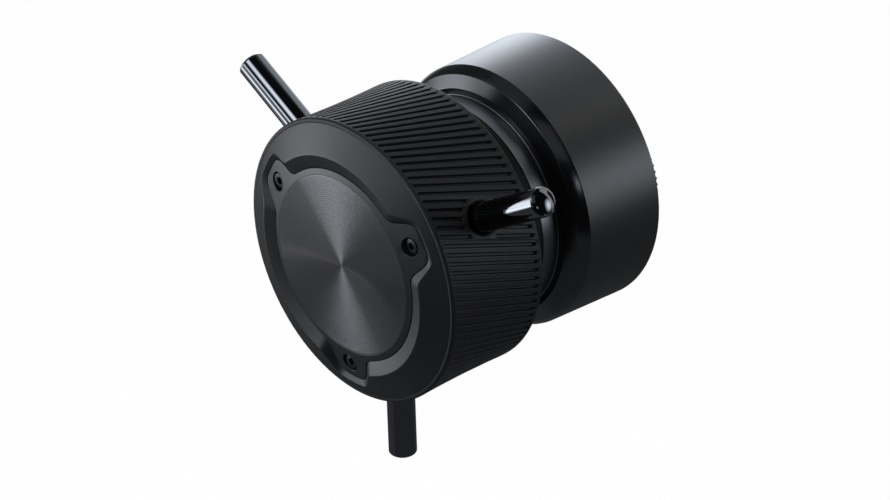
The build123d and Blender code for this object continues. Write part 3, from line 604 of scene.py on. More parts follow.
def settle(piece: Piece, body: Body, finish: Finish, *nodes: str) -> None:
    """Rides a finished piece on its body and hides the CAD nodes that it stands for.

    Args:
        piece: The finished mesh object.
        body: The body that carries it.
        finish: Not used.
        nodes: The CAD nodes that it stands for.
    """
    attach(piece, body.value)
    if nodes:
        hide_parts(*nodes)
    LOG.info("%s: %d faces on %s", piece.name, len(piece.data.polygons), body.value)


class RingTree:
    """Geometry Nodes that set a piece round an axis parallel to Y, in groups evenly spaced round it."""

    INPUTS = (
        ("Piece", "NodeSocketObject"),
        ("Lead piece", "NodeSocketObject"),
        ("Groups", "NodeSocketInt"),
        ("Pieces a group", "NodeSocketInt"),
        ("Step", "NodeSocketFloat"),
        ("Start", "NodeSocketFloat"),
        ("Lead start", "NodeSocketFloat"),
        ("Circle", "NodeSocketFloat"),
        ("Centre", "NodeSocketVector"),
        ("Weld", "NodeSocketFloat"),
        ("Finish", "NodeSocketMaterial"),
    )

    def __init__(self) -> None:
        """Builds the tree once for all the rings."""
        self.tree = bpy.data.node_groups.new("ring_of_pieces", "GeometryNodeTree")
        self.names: dict[str, str] = {}
        for name, kind in self.INPUTS:
            socket = self.tree.interface.new_socket(name=name, in_out="INPUT", socket_type=kind)
            self.names[name] = socket.identifier
        self.tree.interface.new_socket(name="Geometry", in_out="OUTPUT", socket_type="NodeSocketGeometry")
        self.entry = add_node(self.tree, "NodeGroupInput").outputs
        ring = self.spread("Piece", "Pieces a group", "Start")
        leads = self.spread("Lead piece", None, "Lead start")
        both = add_node(self.tree, "GeometryNodeJoinGeometry")
        self.tree.links.new(ring, both.inputs[0])
        self.tree.links.new(leads, both.inputs[0])
        real = add_node(self.tree, "GeometryNodeRealizeInstances", {"Geometry": both.outputs[0]})
        welded = add_node(
            self.tree, "GeometryNodeMergeByDistance",
            {"Geometry": real.outputs[0], "Distance": self.entry["Weld"]},
        )
        moved = add_node(
            self.tree, "GeometryNodeTransform",
            {"Geometry": welded.outputs[0], "Translation": self.entry["Centre"]},
        )
        dressed = add_node(
            self.tree, "GeometryNodeSetMaterial",
            {"Geometry": moved.outputs[0], "Material": self.entry["Finish"]},
        )
        add_node(self.tree, "NodeGroupOutput", {0: dressed.outputs[0]})

    def calculate(self, operation: str, first: object, second: object) -> Socket:
        """Result of one sum on two sockets or numbers."""
        return add_node(self.tree, "ShaderNodeMath", {0: first, 1: second}, operation=operation).outputs[0]

    def spread(self, piece: str, count: str | None, start: str) -> Socket:
        """Instances of one object round the axis.

        Args:
            piece: Name of the object input.
            count: Name of the input that counts the pieces in a group, or None for one.
            start: Name of the input with the first angle.

        Returns:
            The instances' socket.
        """
        entry = self.entry
        in_group = entry[count] if count else 1
        total = self.calculate("MULTIPLY", entry["Groups"], in_group)
        points = add_node(self.tree, "GeometryNodeMeshLine", {"Count": total, "Offset": (0, 0, 0)})
        index = add_node(self.tree, "GeometryNodeInputIndex").outputs[0]
        place = self.calculate("MODULO", index, in_group)
        group = self.calculate("FLOOR", self.calculate("DIVIDE", index, in_group), 0)
        between = self.calculate("DIVIDE", FULL_TURN, entry["Groups"])
        inner = self.calculate("ADD", entry[start], self.calculate("MULTIPLY", place, entry["Step"]))
        angle = self.calculate("ADD", inner, self.calculate("MULTIPLY", group, between))
        turn = add_node(self.tree, "FunctionNodeAxisAngleToRotation", {"Axis": (0, -1, 0), "Angle": angle})
        source = add_node(self.tree, "GeometryNodeObjectInfo", {"Object": entry[piece]})
        out = add_node(self.tree, "ShaderNodeCombineXYZ", {"X": entry["Circle"]})
        shifted = add_node(
            self.tree, "GeometryNodeTransform",
            {"Geometry": source.outputs["Geometry"], "Translation": out.outputs[0]},
        )
        spread = add_node(
            self.tree, "GeometryNodeInstanceOnPoints",
            {"Points": points.outputs[0], "Instance": shifted.outputs[0], "Rotation": turn.outputs[0]},
        )
        return spread.outputs[0]

    def make(self, name: str, finish: Finish, **values: object) -> Piece:
        """Runs the tree and keeps its result as a plain mesh.

        Args:
            name: Name of the new object.
            finish: The finish that it gets.
            values: The tree's inputs, by name with underscores; lengths in metres.

        Returns:
            The object at the origin, with no modifier but its shading.
        """
        made = bpy.data.objects.new(name, bpy.data.meshes.new(name + "_seed"))
        bpy.context.scene.collection.objects.link(made)
        modifier = made.modifiers.new("ring", "NODES")
        modifier.node_group = self.tree
        settings = {"Groups": 1, "Pieces a group": 1, "Step": 0.0, "Start": 0.0, "Lead start": 0.0}
        settings.update({"Circle": 0.0, "Centre": (0.0, 0.0, 0.0), "Weld": WELD, "Finish": finish.material()})
        settings.update({key.replace("_", " "): value for key, value in values.items()})
        for key, value in settings.items():
            modifier[self.names[key]] = value
        depsgraph = bpy.context.evaluated_depsgraph_get()
        mesh = bpy.data.meshes.new_from_object(made.evaluated_get(depsgraph), depsgraph=depsgraph)
        mesh.name = name
        made.modifiers.clear()
        made.data = mesh
        for source in {values.get("Piece"), values.get("Lead_piece")} - {None}:
            bpy.data.objects.remove(source)
        tidy_mesh(made)
        return made


@dataclass(frozen=True)
class Screw:
    """One kind of screw with a six-lobed recess, drawn with its head's top at height 0."""

    head_radius: float
    head_height: float
    shank_radius: float
    shank_length: float
    recess: float
    recess_depth: float
    sunk: bool = False
    edge: float = 0.12
    recess_lobes: int = 6
    recess_wave: float = 0.14  # share of the recess by which its wall waves
    steps: int = 48

    def recess_wall(self, size: float, angle: float) -> float:
        """Distance of the recess's wall at an angle, for a size from its middle to its lobes."""
        return size * (1 - self.recess_wave + self.recess_wave * math.cos(self.recess_lobes * angle))

    def countersink(self, gap: float, top: float, bottom: float) -> list[Flat]:
        """Radius and height of each stage of the hole that takes it, from its top."""
        neck = self.shank_radius + gap
        return [(self.head_radius + gap, top), (neck, top - self.head_height), (neck, bottom)]

    def template(self, towards: float) -> Piece:
        """The screw as an object for the ring tree.

        Args:
            towards: 1 for a head that faces the rear, -1 for the front.

        Returns:
            The object, on the axis, with its head's top at y 0.
        """
        shape = Shape()
        tip = -(self.head_height + self.shank_length)
        collar = self.shank_radius if self.sunk else self.head_radius
        outline = [
            (self.shank_radius - self.edge, tip),
            (self.shank_radius, tip + self.edge),
            (self.shank_radius, -self.head_height),
            (collar, -self.head_height),
            (self.head_radius, -self.edge),
            (self.head_radius - self.edge / 3, -self.edge / 3),
            (self.head_radius - self.edge, 0.0),
        ]
        axis = CENTRED_AXIS
        rings = [shape.ring(axis.circle(radius, height * towards, self.steps)) for radius, height in outline]
        lip = self.recess + self.edge
        for size, height in ((lip, 0.0), (self.recess, -self.edge), (self.recess, -self.recess_depth)):
            wall = axis.polar(lambda angle: self.recess_wall(size, angle), height * towards, self.steps)
            rings.append(shape.ring(wall))
        shape.solid(rings)
        return shape.build("screw_template")


# Radius and length of the head, the shank and the recess, in turn
COVER_SCREW = Screw(2.3, 1.4, 1.25, 6.0, 0.95, 0.9, sunk=True)
ROSETTE_SCREW = Screw(2.2, 1.3, 1.25, 7.4, 0.95, 0.9, sunk=True)
COLLAR_SCREW = Screw(2.0, 1.2, 1.1, 7.0, 0.8, 0.8, sunk=True)
FACE_SCREW = Screw(1.95, 1.1, 1.1, 6.0, 0.98, 0.85)


def set_screws(
    rings: RingTree, node: str, body: Body, template: Piece, count: int, circle: float, start: float,
    centre: Flat,
) -> None:
    """Sets screws evenly round an axis.

    Args:
        rings: The tree that sets them.
        node: The CAD node that they stand for.
        body: The body that carries them.
        template: One screw.
        count: How many there are.
        circle: Radius of their circle.
        start: Angle of the first.
        centre: x of the axis, and the station of the heads' tops.
    """
    x, y = centre
    made = rings.make(
        node.removesuffix("s") + "_set", BLACK_OXIDE, Piece=template, Pieces_a_group=count,
        Step=FULL_TURN / count, Start=start, Circle=circle * MM, Centre=(x * MM, y * MM, 0.0),
    )
    settle(made, body, BLACK_OXIDE, node)


def ring_places(count: int, circle: float, first: float, x: float) -> list[Flat]:
    """Places (x, z) of holes spaced evenly on a circle round an axis at x."""
    angles = [first + FULL_TURN * index / count for index in range(count)]
    return [(x + circle * math.cos(angle), circle * math.sin(angle)) for angle in angles]


def bore(
    shape: Shape, place: Flat, stages: Sequence[Flat], steps: int = HOLE_STEPS
) -> tuple[list[int], list[int]]:
    """Adds the wall of a round hole along Y.

    Args:
        shape: The shape that gets it.
        place: x and z of its middle.
        stages: Radius and height of each stage, from one face to the other.
        steps: Points round it.

    Returns:
        The rings at its first and its last stage.
    """
    axis = axis_along_y(*place)
    rings = [shape.ring(axis.circle(radius, height, steps)) for radius, height in stages]
    shape.skin(rings)
    return rings[0], rings[-1]


def slot_ring(place: Flat, width: float, height: float, y: float, steps: int = 12) -> list[Vector]:
    """Points of a slot with round ends, wide along X, at a station."""
    x, z = place
    end = height / 2
    run = width / 2 - end
    points = []
    for side in (1, -1):
        for step in range(steps + 1):
            angle = math.pi * (step / steps - 0.5) + (0 if side > 0 else math.pi)
            points.append(Vector((x + side * run + end * math.cos(angle), y, z + end * math.sin(angle))))
    return points


def slotted(place: Flat, size: Flat, stages: Sequence[Flat]) -> Shape:
    """A solid along Y with round-ended sections.

    Args:
        place: x and z of its middle.
        size: Width and height of its plain section.
        stages: Growth of the section, and its station, from end to end.

    Returns:
        The closed shape.
    """
    width, height = size
    shape = Shape()
    shape.solid([shape.ring(slot_ring(place, width + grow, height + grow, y)) for grow, y in stages])
    return shape


@dataclass
class Housing:
    """Shell, back cover, neck and sockets of the housing."""

    wall_rear: float = 34.8
    wall_front: float = 33.9
    shoulder: float = 32.35
    ledge: float = 29.3
    step_length: float = 1.7
    shoulder_length: float = 4.65  # front edge to the wall
    shoulder_crown: float = 0.22  # rise of the second cone's middle
    crown_radius: float = 9.8
    cone_edge: float = 0.35
    ledge_edge: float = 0.4
    bore: float = 21.05
    flange: float = 4.2
    cavity: float = 30.6
    cover_radius: float = 32.2
    cover_thickness: float = 3.0
    post: float = 2.6
    post_circle: float = 20.0
    post_angles: tuple[float, ...] = (60.0, 120.0, 240.0, 300.0)
    cover_gap: float = 0.06
    screws: int = 4
    cover_screw_circle: float = 28.0
    screw_start: float = math.radians(45.0)
    neck: float = 27.5
    neck_fillet: float = 0.35
    felt: Flat = (23.6, 25.6)
    felt_depth: float = 1.5
    tube: float = 14.0
    bearing: float = 10.5
    land: float = 9.0
    spigot: float = 21.0
    spigot_length: float = 3.0
    edge: float = 0.14
    rear_round: float = 0.5
    usb_x: float = -17.0  # from the knob axis
    usb_z: float = 7.5
    usb_size: Flat = (8.94, 3.26)
    usb_wall: float = 0.3
    usb_gap: float = 0.2
    usb_base: float = 1.0
    usb_lip: float = 0.1
    contacts_a_side: int = 12
    contact_row: float = 0.9  # share of the tongue's width that the contacts take up
    contact_half: float = 0.28  # share of their pitch
    contact_ends: Flat = (0.4, 0.5)  # from the tongue's base and from its tip
    contact_faces: Flat = (0.05, 0.03)  # under and over the tongue's surface

    def build(self, rings: RingTree) -> None:
        """Makes every piece of the housing."""
        self.shell()
        self.neck_ring()
        self.cover(rings)
        for name, side in (("upper", 1), ("lower", -1)):
            self.socket(name, (KNOB_X + self.usb_x, self.usb_z * side))

    def shell(self) -> None:
        """The turned shell with its two cones round the neck."""
        front, rear = span("housing_shell")
        inner = rear - self.cover_thickness
        step = Vector((self.shoulder, front + self.step_length))
        wall = Vector((self.wall_front, front + self.shoulder_length))
        cone = wall - step
        crown = (step + wall) / 2 + Vector((cone.y, -cone.x)).normalized() * self.shoulder_crown
        corners = [
            (self.bore, front, self.edge),
            (self.ledge, front, self.ledge_edge),
            (*step, self.cone_edge),
            (*crown, self.crown_radius),
            (*wall, self.edge * 2),
            (self.wall_rear, rear, self.rear_round),
            (self.cover_radius, rear, self.edge),
            (self.cover_radius, inner, 0),
            (self.cavity, inner, 0),
            (self.cavity, front + self.flange, self.rear_round),
            (self.bore, front + self.flange, self.edge),
        ]
        piece = turned(KNOB_AXIS, corners).build("housing_shell_turned", SATIN_HOUSING)
        piece.data.materials.append(FINE_TURNED.material())
        for face in piece.data.polygons:
            face.material_index = int(face.center.y < wall.y * MM)
        settle(piece, Body.BASE, SATIN_HOUSING, "housing_shell")

    def neck_ring(self) -> None:
        """The neck with its felt groove and the bearing tube inside it."""
        tube_front, tube_rear = span("bearing_carrier")
        rear = span("housing_shell")[0]
        front = span("felt_ring")[1] - self.felt_depth
        races = span("front_bearing_outer_ring")[1], span("preload_spring")[0]
        inner, outer = self.felt
        corners = [
            (self.land, races[0], 0),
            (self.bearing, races[0], 0),
            (self.bearing, tube_front, self.edge),
            (self.tube, tube_front, self.edge),
            (self.tube, front, self.edge),
            (inner, front, 0),
            (inner, front + self.felt_depth, 0),
            (outer, front + self.felt_depth, 0),
            (outer, front, 0),
            (self.neck, front, self.edge),
            (self.neck, rear, self.neck_fillet),
            (self.neck + self.neck_fillet + self.edge, rear, 0),
            (self.spigot, rear, 0),
            (self.spigot, rear + self.spigot_length, self.edge),
            (self.tube, rear + self.spigot_length, self.edge),
            (self.tube, tube_rear, self.edge),
            (self.bearing, tube_rear, self.edge),
            (self.bearing, races[1], 0),
            (self.land, races[1], 0),
        ]
        piece = turned(KNOB_AXIS, corners).build("neck_with_bearing_tube", SATIN_NECK)
        settle(piece, Body.BASE, SATIN_NECK, "bearing_carrier")

    def cover(self, rings: RingTree) -> None:
        """The back cover with its countersinks, socket openings and board posts, and its screws."""
        rear = span("housing_shell")[1]
        inner = rear - self.cover_thickness
        shape = Shape()
        radius = self.cover_radius - self.cover_gap
        wall = soften([(0, rear, 0), (radius, rear, self.edge), (radius, inner, 0)])[1:]
        sides = [shape.ring(KNOB_AXIS.circle(r, y)) for r, y in wall]
        shape.skin(sides)
        tops = [sides[0]]
        bottoms = [sides[-1]]
        sink = COVER_SCREW.countersink(self.cover_gap, rear, inner)
        for place in ring_places(self.screws, self.cover_screw_circle, self.screw_start, KNOB_X):
            top, bottom = bore(shape, place, sink)
            tops.append(top)
            bottoms.append(bottom)
        width, height = (size + 2 * self.usb_gap for size in self.usb_size)
        lip = self.edge * 2
        for side in (1, -1):
            place = (KNOB_X + self.usb_x, self.usb_z * side)
            stages = ((lip, rear), (0.0, rear - lip / 2), (0.0, inner))
            walls = [shape.ring(slot_ring(place, width + grow, height + grow, y)) for grow, y in stages]
            shape.skin(walls)
            tops.append(walls[0])
            bottoms.append(walls[-1])
        board = span("circuit_board")[1]
        for angle in self.post_angles:
            place = ring_places(1, self.post_circle, math.radians(angle), KNOB_X)[0]
            bottom, foot = bore(shape, place, [(self.post, inner), (self.post, board)], SMALL_HOLE_STEPS)
            bottoms.append(bottom)
            shape.cap(foot)
        insert = (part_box("thread_insert")[1].x / MM) + self.cover_gap
        top, bottom = bore(shape, (0, 0), [(insert, rear), (insert, inner)])
        shape.fill([*tops, top])
        shape.fill([*bottoms, bottom])
        piece = shape.build("back_cover_plate", SATIN_HOUSING)
        settle(piece, Body.BASE, SATIN_HOUSING, "back_cover")
        set_screws(
            rings, "cover_screws", Body.BASE, COVER_SCREW.template(1), self.screws, self.cover_screw_circle,
            self.screw_start, (KNOB_X, rear),
        )

    def socket(self, name: str, place: Flat) -> None:
        """One drawn socket shell, its tongue and the tongue's contacts."""
        front, mouth = span("usb_shell_" + name)
        wall = self.usb_wall * 2
        lip = self.usb_lip
        stages = [
            (0.0, front),
            (0.0, mouth - lip),
            (-lip, mouth),
            (-wall + lip, mouth),
            (-wall, mouth - lip),
            (-wall, front + self.usb_base),
        ]
        piece = slotted(place, self.usb_size, stages).build("socket_shell_" + name, SOCKET_STEEL)
        settle(piece, Body.BASE, SOCKET_STEEL, "usb_shell_" + name)
        low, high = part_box("usb_tongue_" + name)
        size = (high - low) / MM
        base, tip = low.y / MM, high.y / MM
        bevel = size.z / 4
        stages = [(0.0, base), (0.0, tip - bevel), (-bevel * 2, tip)]
        piece = slotted(place, (size.x, size.z), stages).build("socket_tongue_" + name, SOCKET_PLASTIC)
        settle(piece, Body.BASE, SOCKET_PLASTIC, "usb_tongue_" + name)
        self.contacts(name, place, size, (base, tip))

    def contacts(self, name: str, place: Flat, size: Vector, reach: Flat) -> None:
        """Flat contacts on each side of a tongue.

        Args:
            name: Which socket it is.
            place: x and z of its middle.
            size: The tongue's size.
            reach: Stations of the tongue's base and tip.
        """
        count = self.contacts_a_side
        pitch = size.x * self.contact_row / count
        half = pitch * self.contact_half
        start, end = reach[0] + self.contact_ends[0], reach[1] - self.contact_ends[1]
        corners = ((-half, start), (half, start), (half, end), (-half, end))
        under, over = self.contact_faces
        shape = Shape()
        for index in range(count):
            x = place[0] + pitch * (index - (count - 1) / 2)
            for side in (1, -1):
                z = place[1] + side * size.z / 2
                levels = (z - side * under, z + side * over)
                shape.solid([shape.ring(Vector((x + dx, y, level)) for dx, y in corners) for level in levels])
        settle(shape.build("socket_contacts_" + name, GOLD), Body.BASE, GOLD)


@dataclass
class Rosette:
    """Toothed rear mount: teeth, hub, boss, insert and screws."""

    radius: float = 15.9
    inner: float = 10.0
    teeth: int = 60
    tooth_depth: float = 0.83
    tooth_flat_share: float = 0.1  # of half a tooth, flat on the crest and in the root
    insert: float = 4.6
    gap: float = 0.06
    screws: int = 4
    screw_circle: float = 7.4
    screw_start: float = math.radians(45.0)
    boss_inset: float = 0.2
    edge: float = 0.14
    thread: float = 2.5
    thread_depth: float = 0.35
    thread_pitch: float = 1.0
    thread_steps: int = 96

    def build(self, rings: RingTree) -> None:
        """Makes every piece of the mount."""
        base, crest = span("rosette")
        floor = span("thread_insert")[1]
        body = rings.make(
            "rosette_toothed", SATIN_FACE, Piece=self.tooth(base, crest, floor),
            Lead_piece=self.hub(base, floor), Pieces_a_group=self.teeth, Step=FULL_TURN / self.teeth,
        )
        settle(body, Body.BASE, SATIN_FACE, "rosette")
        set_screws(
            rings, "rosette_screws", Body.BASE, ROSETTE_SCREW.template(1), self.screws, self.screw_circle,
            self.screw_start, (0.0, floor),
        )
        self.boss()
        self.threaded_insert()

    def tooth_angles(self) -> list[float]:
        """Angles across one tooth, from root to root."""
        half = FULL_TURN / self.teeth / 2
        share = self.tooth_flat_share
        steps = (0.0, share, 1 - share, 1.0, 1 + share, 2 - share, 2.0)
        return [half * step for step in steps]

    def tooth_height(self, crest: float, radius: float, angle: float) -> float:
        """Station of a tooth's surface; roots run down towards the outer edge."""
        half = FULL_TURN / self.teeth / 2
        share = abs(angle / half - 1)
        share = min(max(share, self.tooth_flat_share), 1 - self.tooth_flat_share)
        return crest - self.tooth_depth * radius / self.radius * share

    def tooth(self, base: float, crest: float, floor: float) -> Piece:
        """One tooth with the slice of ring under it."""
        shape = Shape()
        angles = self.tooth_angles()
        axis = CENTRED_AXIS
        rim = self.radius - self.edge
        rows = [
            [axis.at(self.inner, angle, base) for angle in angles],
            [axis.at(self.radius, angle, base) for angle in angles],
            [axis.at(self.radius, a, self.tooth_height(crest, self.radius, a) - self.edge) for a in angles],
            [axis.at(rim, a, self.tooth_height(crest, rim, a)) for a in angles],
            [axis.at(self.inner, a, self.tooth_height(crest, self.inner, a)) for a in angles],
            [axis.at(self.inner, angle, floor) for angle in angles],
        ]
        lines = [shape.ring(row) for row in rows]
        for near, far in zip(lines, lines[1:]):
            for index in range(len(angles) - 1):
                shape.faces.append([near[index], near[index + 1], far[index + 1], far[index]])
        return shape.build("tooth_template")

    def hub(self, base: float, floor: float) -> Piece:
        """The flat middle inside the teeth, with its countersinks."""
        shape = Shape()
        each = FULL_TURN / self.teeth
        angles = [each * tooth + angle for tooth in range(self.teeth) for angle in self.tooth_angles()[:-1]]
        top = shape.ring(CENTRED_AXIS.at(self.inner, angle, floor) for angle in angles)
        bottom = shape.ring(CENTRED_AXIS.at(self.inner, angle, base) for angle in angles)
        stages = ROSETTE_SCREW.countersink(self.gap, floor, base)
        tops, bottoms = [top], [bottom]
        for place in ring_places(self.screws, self.screw_circle, self.screw_start, 0):
            first, last = bore(shape, place, stages)
            tops.append(first)
            bottoms.append(last)
        wide = self.insert + self.gap
        first, last = bore(shape, (0, 0), [(wide, floor), (wide, base)])
        shape.fill([*tops, first])
        shape.fill([*bottoms, last])
        return shape.build("hub_template")

    def boss(self) -> None:
        """The round boss between the cover and the rosette."""
        front, rear = span("rosette_boss")
        wide = self.radius - self.boss_inset
        inner = self.insert + self.gap
        corners = [(inner, front, 0), (wide, front, 0), (wide, rear, self.edge), (inner, rear, 0)]
        piece = turned(ROSETTE_AXIS, corners).build("rosette_boss_turned", SATIN_HOUSING)
        settle(piece, Body.BASE, SATIN_HOUSING, "rosette_boss")

    def threaded_insert(self) -> None:
        """The steel insert, whose thread is drawn as plain rings."""
        front, rear = span("thread_insert")
        lead = self.edge * 3
        corners: list[Corner] = [
            (self.thread, front, 0),
            (self.insert, front, 0),
            (self.insert, rear, self.edge),
            (self.thread + lead, rear, 0),
        ]
        turns = int((rear - front - lead * 2) / self.thread_pitch)
        for turn in range(turns):
            y = rear - lead - self.thread_pitch * turn
            corners.append((self.thread, y, 0))
            corners.append((self.thread + self.thread_depth, y - self.thread_pitch / 2, 0))
        piece = turned(ROSETTE_AXIS, corners, self.thread_steps).build("thread_insert_turned", GROUND_STEEL)
        settle(piece, Body.BASE, GROUND_STEEL, "thread_insert")


@dataclass(frozen=True)
class LobedOutline:
    """A circle with three round-cornered lobes, seen from the front."""

    valley: float  # radius between the lobes
    tip: float  # radius of their tips
    root_half: float  # half the width of a lobe at the valley's radius
    tip_half: float  # and at the tip's
    corner: float  # rounding beside a tip
    root: float  # rounding where a lobe meets the valley
    tip_steps: int = 6
    corner_steps: int = 8
    flank_steps: int = 8
    valley_steps: int = 24

    def grown(self, by: float) -> "LobedOutline":
        """The outline moved outwards by an allowance."""
        return LobedOutline(
            self.valley + by, self.tip + by, self.root_half + by, self.tip_half + by,
            self.corner + by, self.root - by,
        )

    def half_lobe(self) -> list[Vector]:
        """Points from the middle of a lobe's tip to the middle of the valley beside it."""
        lean = (self.root_half - self.tip_half) / (self.tip - self.valley)
        slant = math.hypot(1, lean)
        normal = Vector((lean, 1)) / slant
        flank = Vector((1, -lean)) / slant
        offset = (self.root_half + self.valley * lean) / slant
        corner_run = math.sqrt((self.tip - self.corner) ** 2 - (offset - self.corner) ** 2)
        corner = normal * (offset - self.corner) + flank * corner_run
        root_run = math.sqrt((self.valley + self.root) ** 2 - (offset + self.root) ** 2)
        root = normal * (offset + self.root) + flank * root_run
        corner_turn = math.atan2(corner.y, corner.x)
        root_turn = math.atan2(root.y, root.x)
        normal_turn = math.atan2(normal.y, normal.x)
        nowhere = Vector((0, 0))
        arcs = (
            (nowhere, self.tip, 0.0, corner_turn, self.tip_steps),
            (corner, self.corner, corner_turn, normal_turn, self.corner_steps),
            (root, self.root, normal_turn + math.pi, root_turn + math.pi, self.corner_steps),
            (nowhere, self.valley, root_turn, FULL_TURN / LOBES / 2, self.valley_steps),
        )
        pieces = []
        for middle, radius, start, end, steps in arcs:
            turns = [start + (end - start) * step / steps for step in range(steps + 1)]
            pieces.append([middle + Vector((math.cos(turn), math.sin(turn))) * radius for turn in turns])
        straight = [
            pieces[1][-1].lerp(pieces[2][0], step / self.flank_steps) for step in range(1, self.flank_steps)
        ]
        return [*pieces[0], *pieces[1][1:], *straight, *pieces[2], *pieces[3][1:]]

    def points(self, start: float) -> list[Flat]:
        """Radius and angle of every point round the outline, from a lobe's middle at the start angle."""
        half = [(point.length, math.atan2(point.y, point.x)) for point in self.half_lobe()]
        polar = []
        for lobe in range(LOBES):
            middle = start + FULL_TURN / LOBES * lobe
            polar.extend((radius, middle + turn) for radius, turn in half[:-1])
            back = FULL_TURN / LOBES + middle
            polar.extend((radius, back - turn) for radius, turn in reversed(half[1:]))
        return polar


@dataclass
class KnobFace:
    """Core of the knob with the face ring, the lobed plate, the spun disc and the screws."""

    edge_radius: float = 34.96
    core_radius: float = 34.0
    rim_radius: float = 27.98
    face_rise: float = 3.17
    plate: LobedOutline = LobedOutline(24.4, 31.15, 6.66, 4.5, 3.2, 4.0)
    rim: LobedOutline = LobedOutline(27.86, 32.65, 7.8, 4.95, 3.1, 3.7)
    plate_slope: float = 0.236
    disc_radius: float = 22.85
    disc_gap: float = 0.04
    disc_lip: float = 0.05
    plate_gap: float = 0.1
    screw_circle: float = 27.1
    head_sink: float = 0.55  # top of a screw's head under the plate's surface
    counterbore: float = 2.3
    bore: float = 26.5
    hub_bore: float = 6.05
    web: float = 5.0
    edge: float = 0.13
    line_pitch: float = 0.42  # mm between tool lines, coarser than real ones so that they show
    line_depth: float = 0.004
    skirt: float = 0.6  # length of the face ring's outer wall
    face_shares: tuple[float, ...] = (0.25, 0.5, 0.75, 0.9)  # rows of the face ring from its outer edge
    edge_ease: float = 0.3  # share of an edge at the middle of its rounding

    def __post_init__(self) -> None:
        """Takes the stations from the frame."""
        self.front = span("grip_sleeve")[0]
        self.rim_y = span("knob_core")[0]
        self.core_rear = span("knob_core")[1]
        self.disc_y, self.disc_floor = span("face_disc")
        self.floor = span("face_plate")[1]
        self.start = spoke_angle("spoke_right")

    def front_y(self, radius: float) -> float:
        """Station of the face ring's cone at a radius."""
        slope = self.face_rise / (self.edge_radius - self.rim_radius)
        return self.rim_y + max(0.0, radius - self.rim_radius) * slope

    def plate_y(self, radius: float) -> float:
        """Station of the plate's surface at a radius."""
        return self.disc_y + self.plate_slope * (radius - self.disc_radius)

    def build(self, rings: RingTree) -> None:
        """Makes every piece of the face."""
        self.core()
        self.lobed_plate()
        self.disc()
        head = self.plate_y(self.screw_circle) + self.head_sink
        set_screws(
            rings, "face_screws", Body.KNOB, FACE_SCREW.template(-1), LOBES, self.screw_circle, self.start,
            (KNOB_X, head),
        )

    def even_rings(self, shape: Shape, count: int, profile: Sequence[Flat]) -> list[list[int]]:
        """Adds circles of evenly spaced points at each radius and station, from a lobe's middle."""
        turns = [self.start + FULL_TURN * index / count for index in range(count)]
        return [shape.ring(KNOB_AXIS.at(radius, turn, y) for turn in turns) for radius, y in profile]

    def core(self) -> None:
        """The core: skirt, face ring, bevelled pocket, floor and the hollow behind."""
        shape = Shape()
        rim = self.rim.points(self.start)
        pocket = self.plate.grown(self.plate_gap).points(self.start)
        low = self.plate.grown(self.plate_gap + self.edge).points(self.start)
        even = [self.start + FULL_TURN * index / len(rim) for index in range(len(rim))]
        skirt = self.front + self.skirt
        sides = [(self.core_radius, self.core_rear), (self.core_radius, skirt), (self.edge_radius, skirt)]
        rounding = soften(
            [
                (self.edge_radius, skirt, 0),
                (self.edge_radius, self.front, self.edge * 2),
                (self.rim_radius, self.rim_y, 0),
            ]
        )
        rings = self.even_rings(shape, len(rim), [*sides, *rounding[1:-1]])
        outer = self.edge_radius - self.edge * 2
        for share in self.face_shares:
            places = [
                (outer + (radius + self.edge - outer) * share, even[i] + (angle - even[i]) * share)
                for i, (radius, angle) in enumerate(rim)
            ]
            rings.append(shape.ring(KNOB_AXIS.at(r, a, self.front_y(r)) for r, a in places))
        grown = self.rim.grown(self.edge).points(self.start)
        rings.append(shape.ring(KNOB_AXIS.at(r, a, self.front_y(r)) for r, a in grown))
        rings.append(shape.ring(KNOB_AXIS.at(r, a, self.front_y(r) + self.edge / 8) for r, a in rim))
        drop = [self.plate_y(radius) for radius, _ in pocket]
        tops = [self.front_y(radius) for radius, _ in rim]
        near = []
        for (r0, a0), (r1, a1), y0, y1 in zip(rim, low, tops, drop):
            start = KNOB_AXIS.at(r0, a0, y0)
            end = KNOB_AXIS.at(r1, a1, y1)
            run = (end - start).length
            near.append(start.lerp(end, min(0.5, self.edge / run)))
        rings.append(shape.ring(near))
        rings.append(shape.ring(KNOB_AXIS.at(r, a, y) for (r, a), y in zip(low, drop)))
        rings.append(shape.ring(KNOB_AXIS.at(r, a, y + self.edge) for (r, a), y in zip(pocket, drop)))
        rings.append(shape.ring(KNOB_AXIS.at(r, a, self.floor) for r, a in pocket))
        web = self.floor + self.web
        hollow = [
            (self.hub_bore, self.floor), (self.hub_bore, web), (self.bore, web), (self.bore, self.core_rear),
        ]
        rings += self.even_rings(shape, len(rim), hollow)
        shape.skin(rings, loop=True)
        piece = shape.build("knob_core_with_face_ring", SATIN_FACE)
        settle(piece, Body.KNOB, SATIN_FACE, "knob_core")

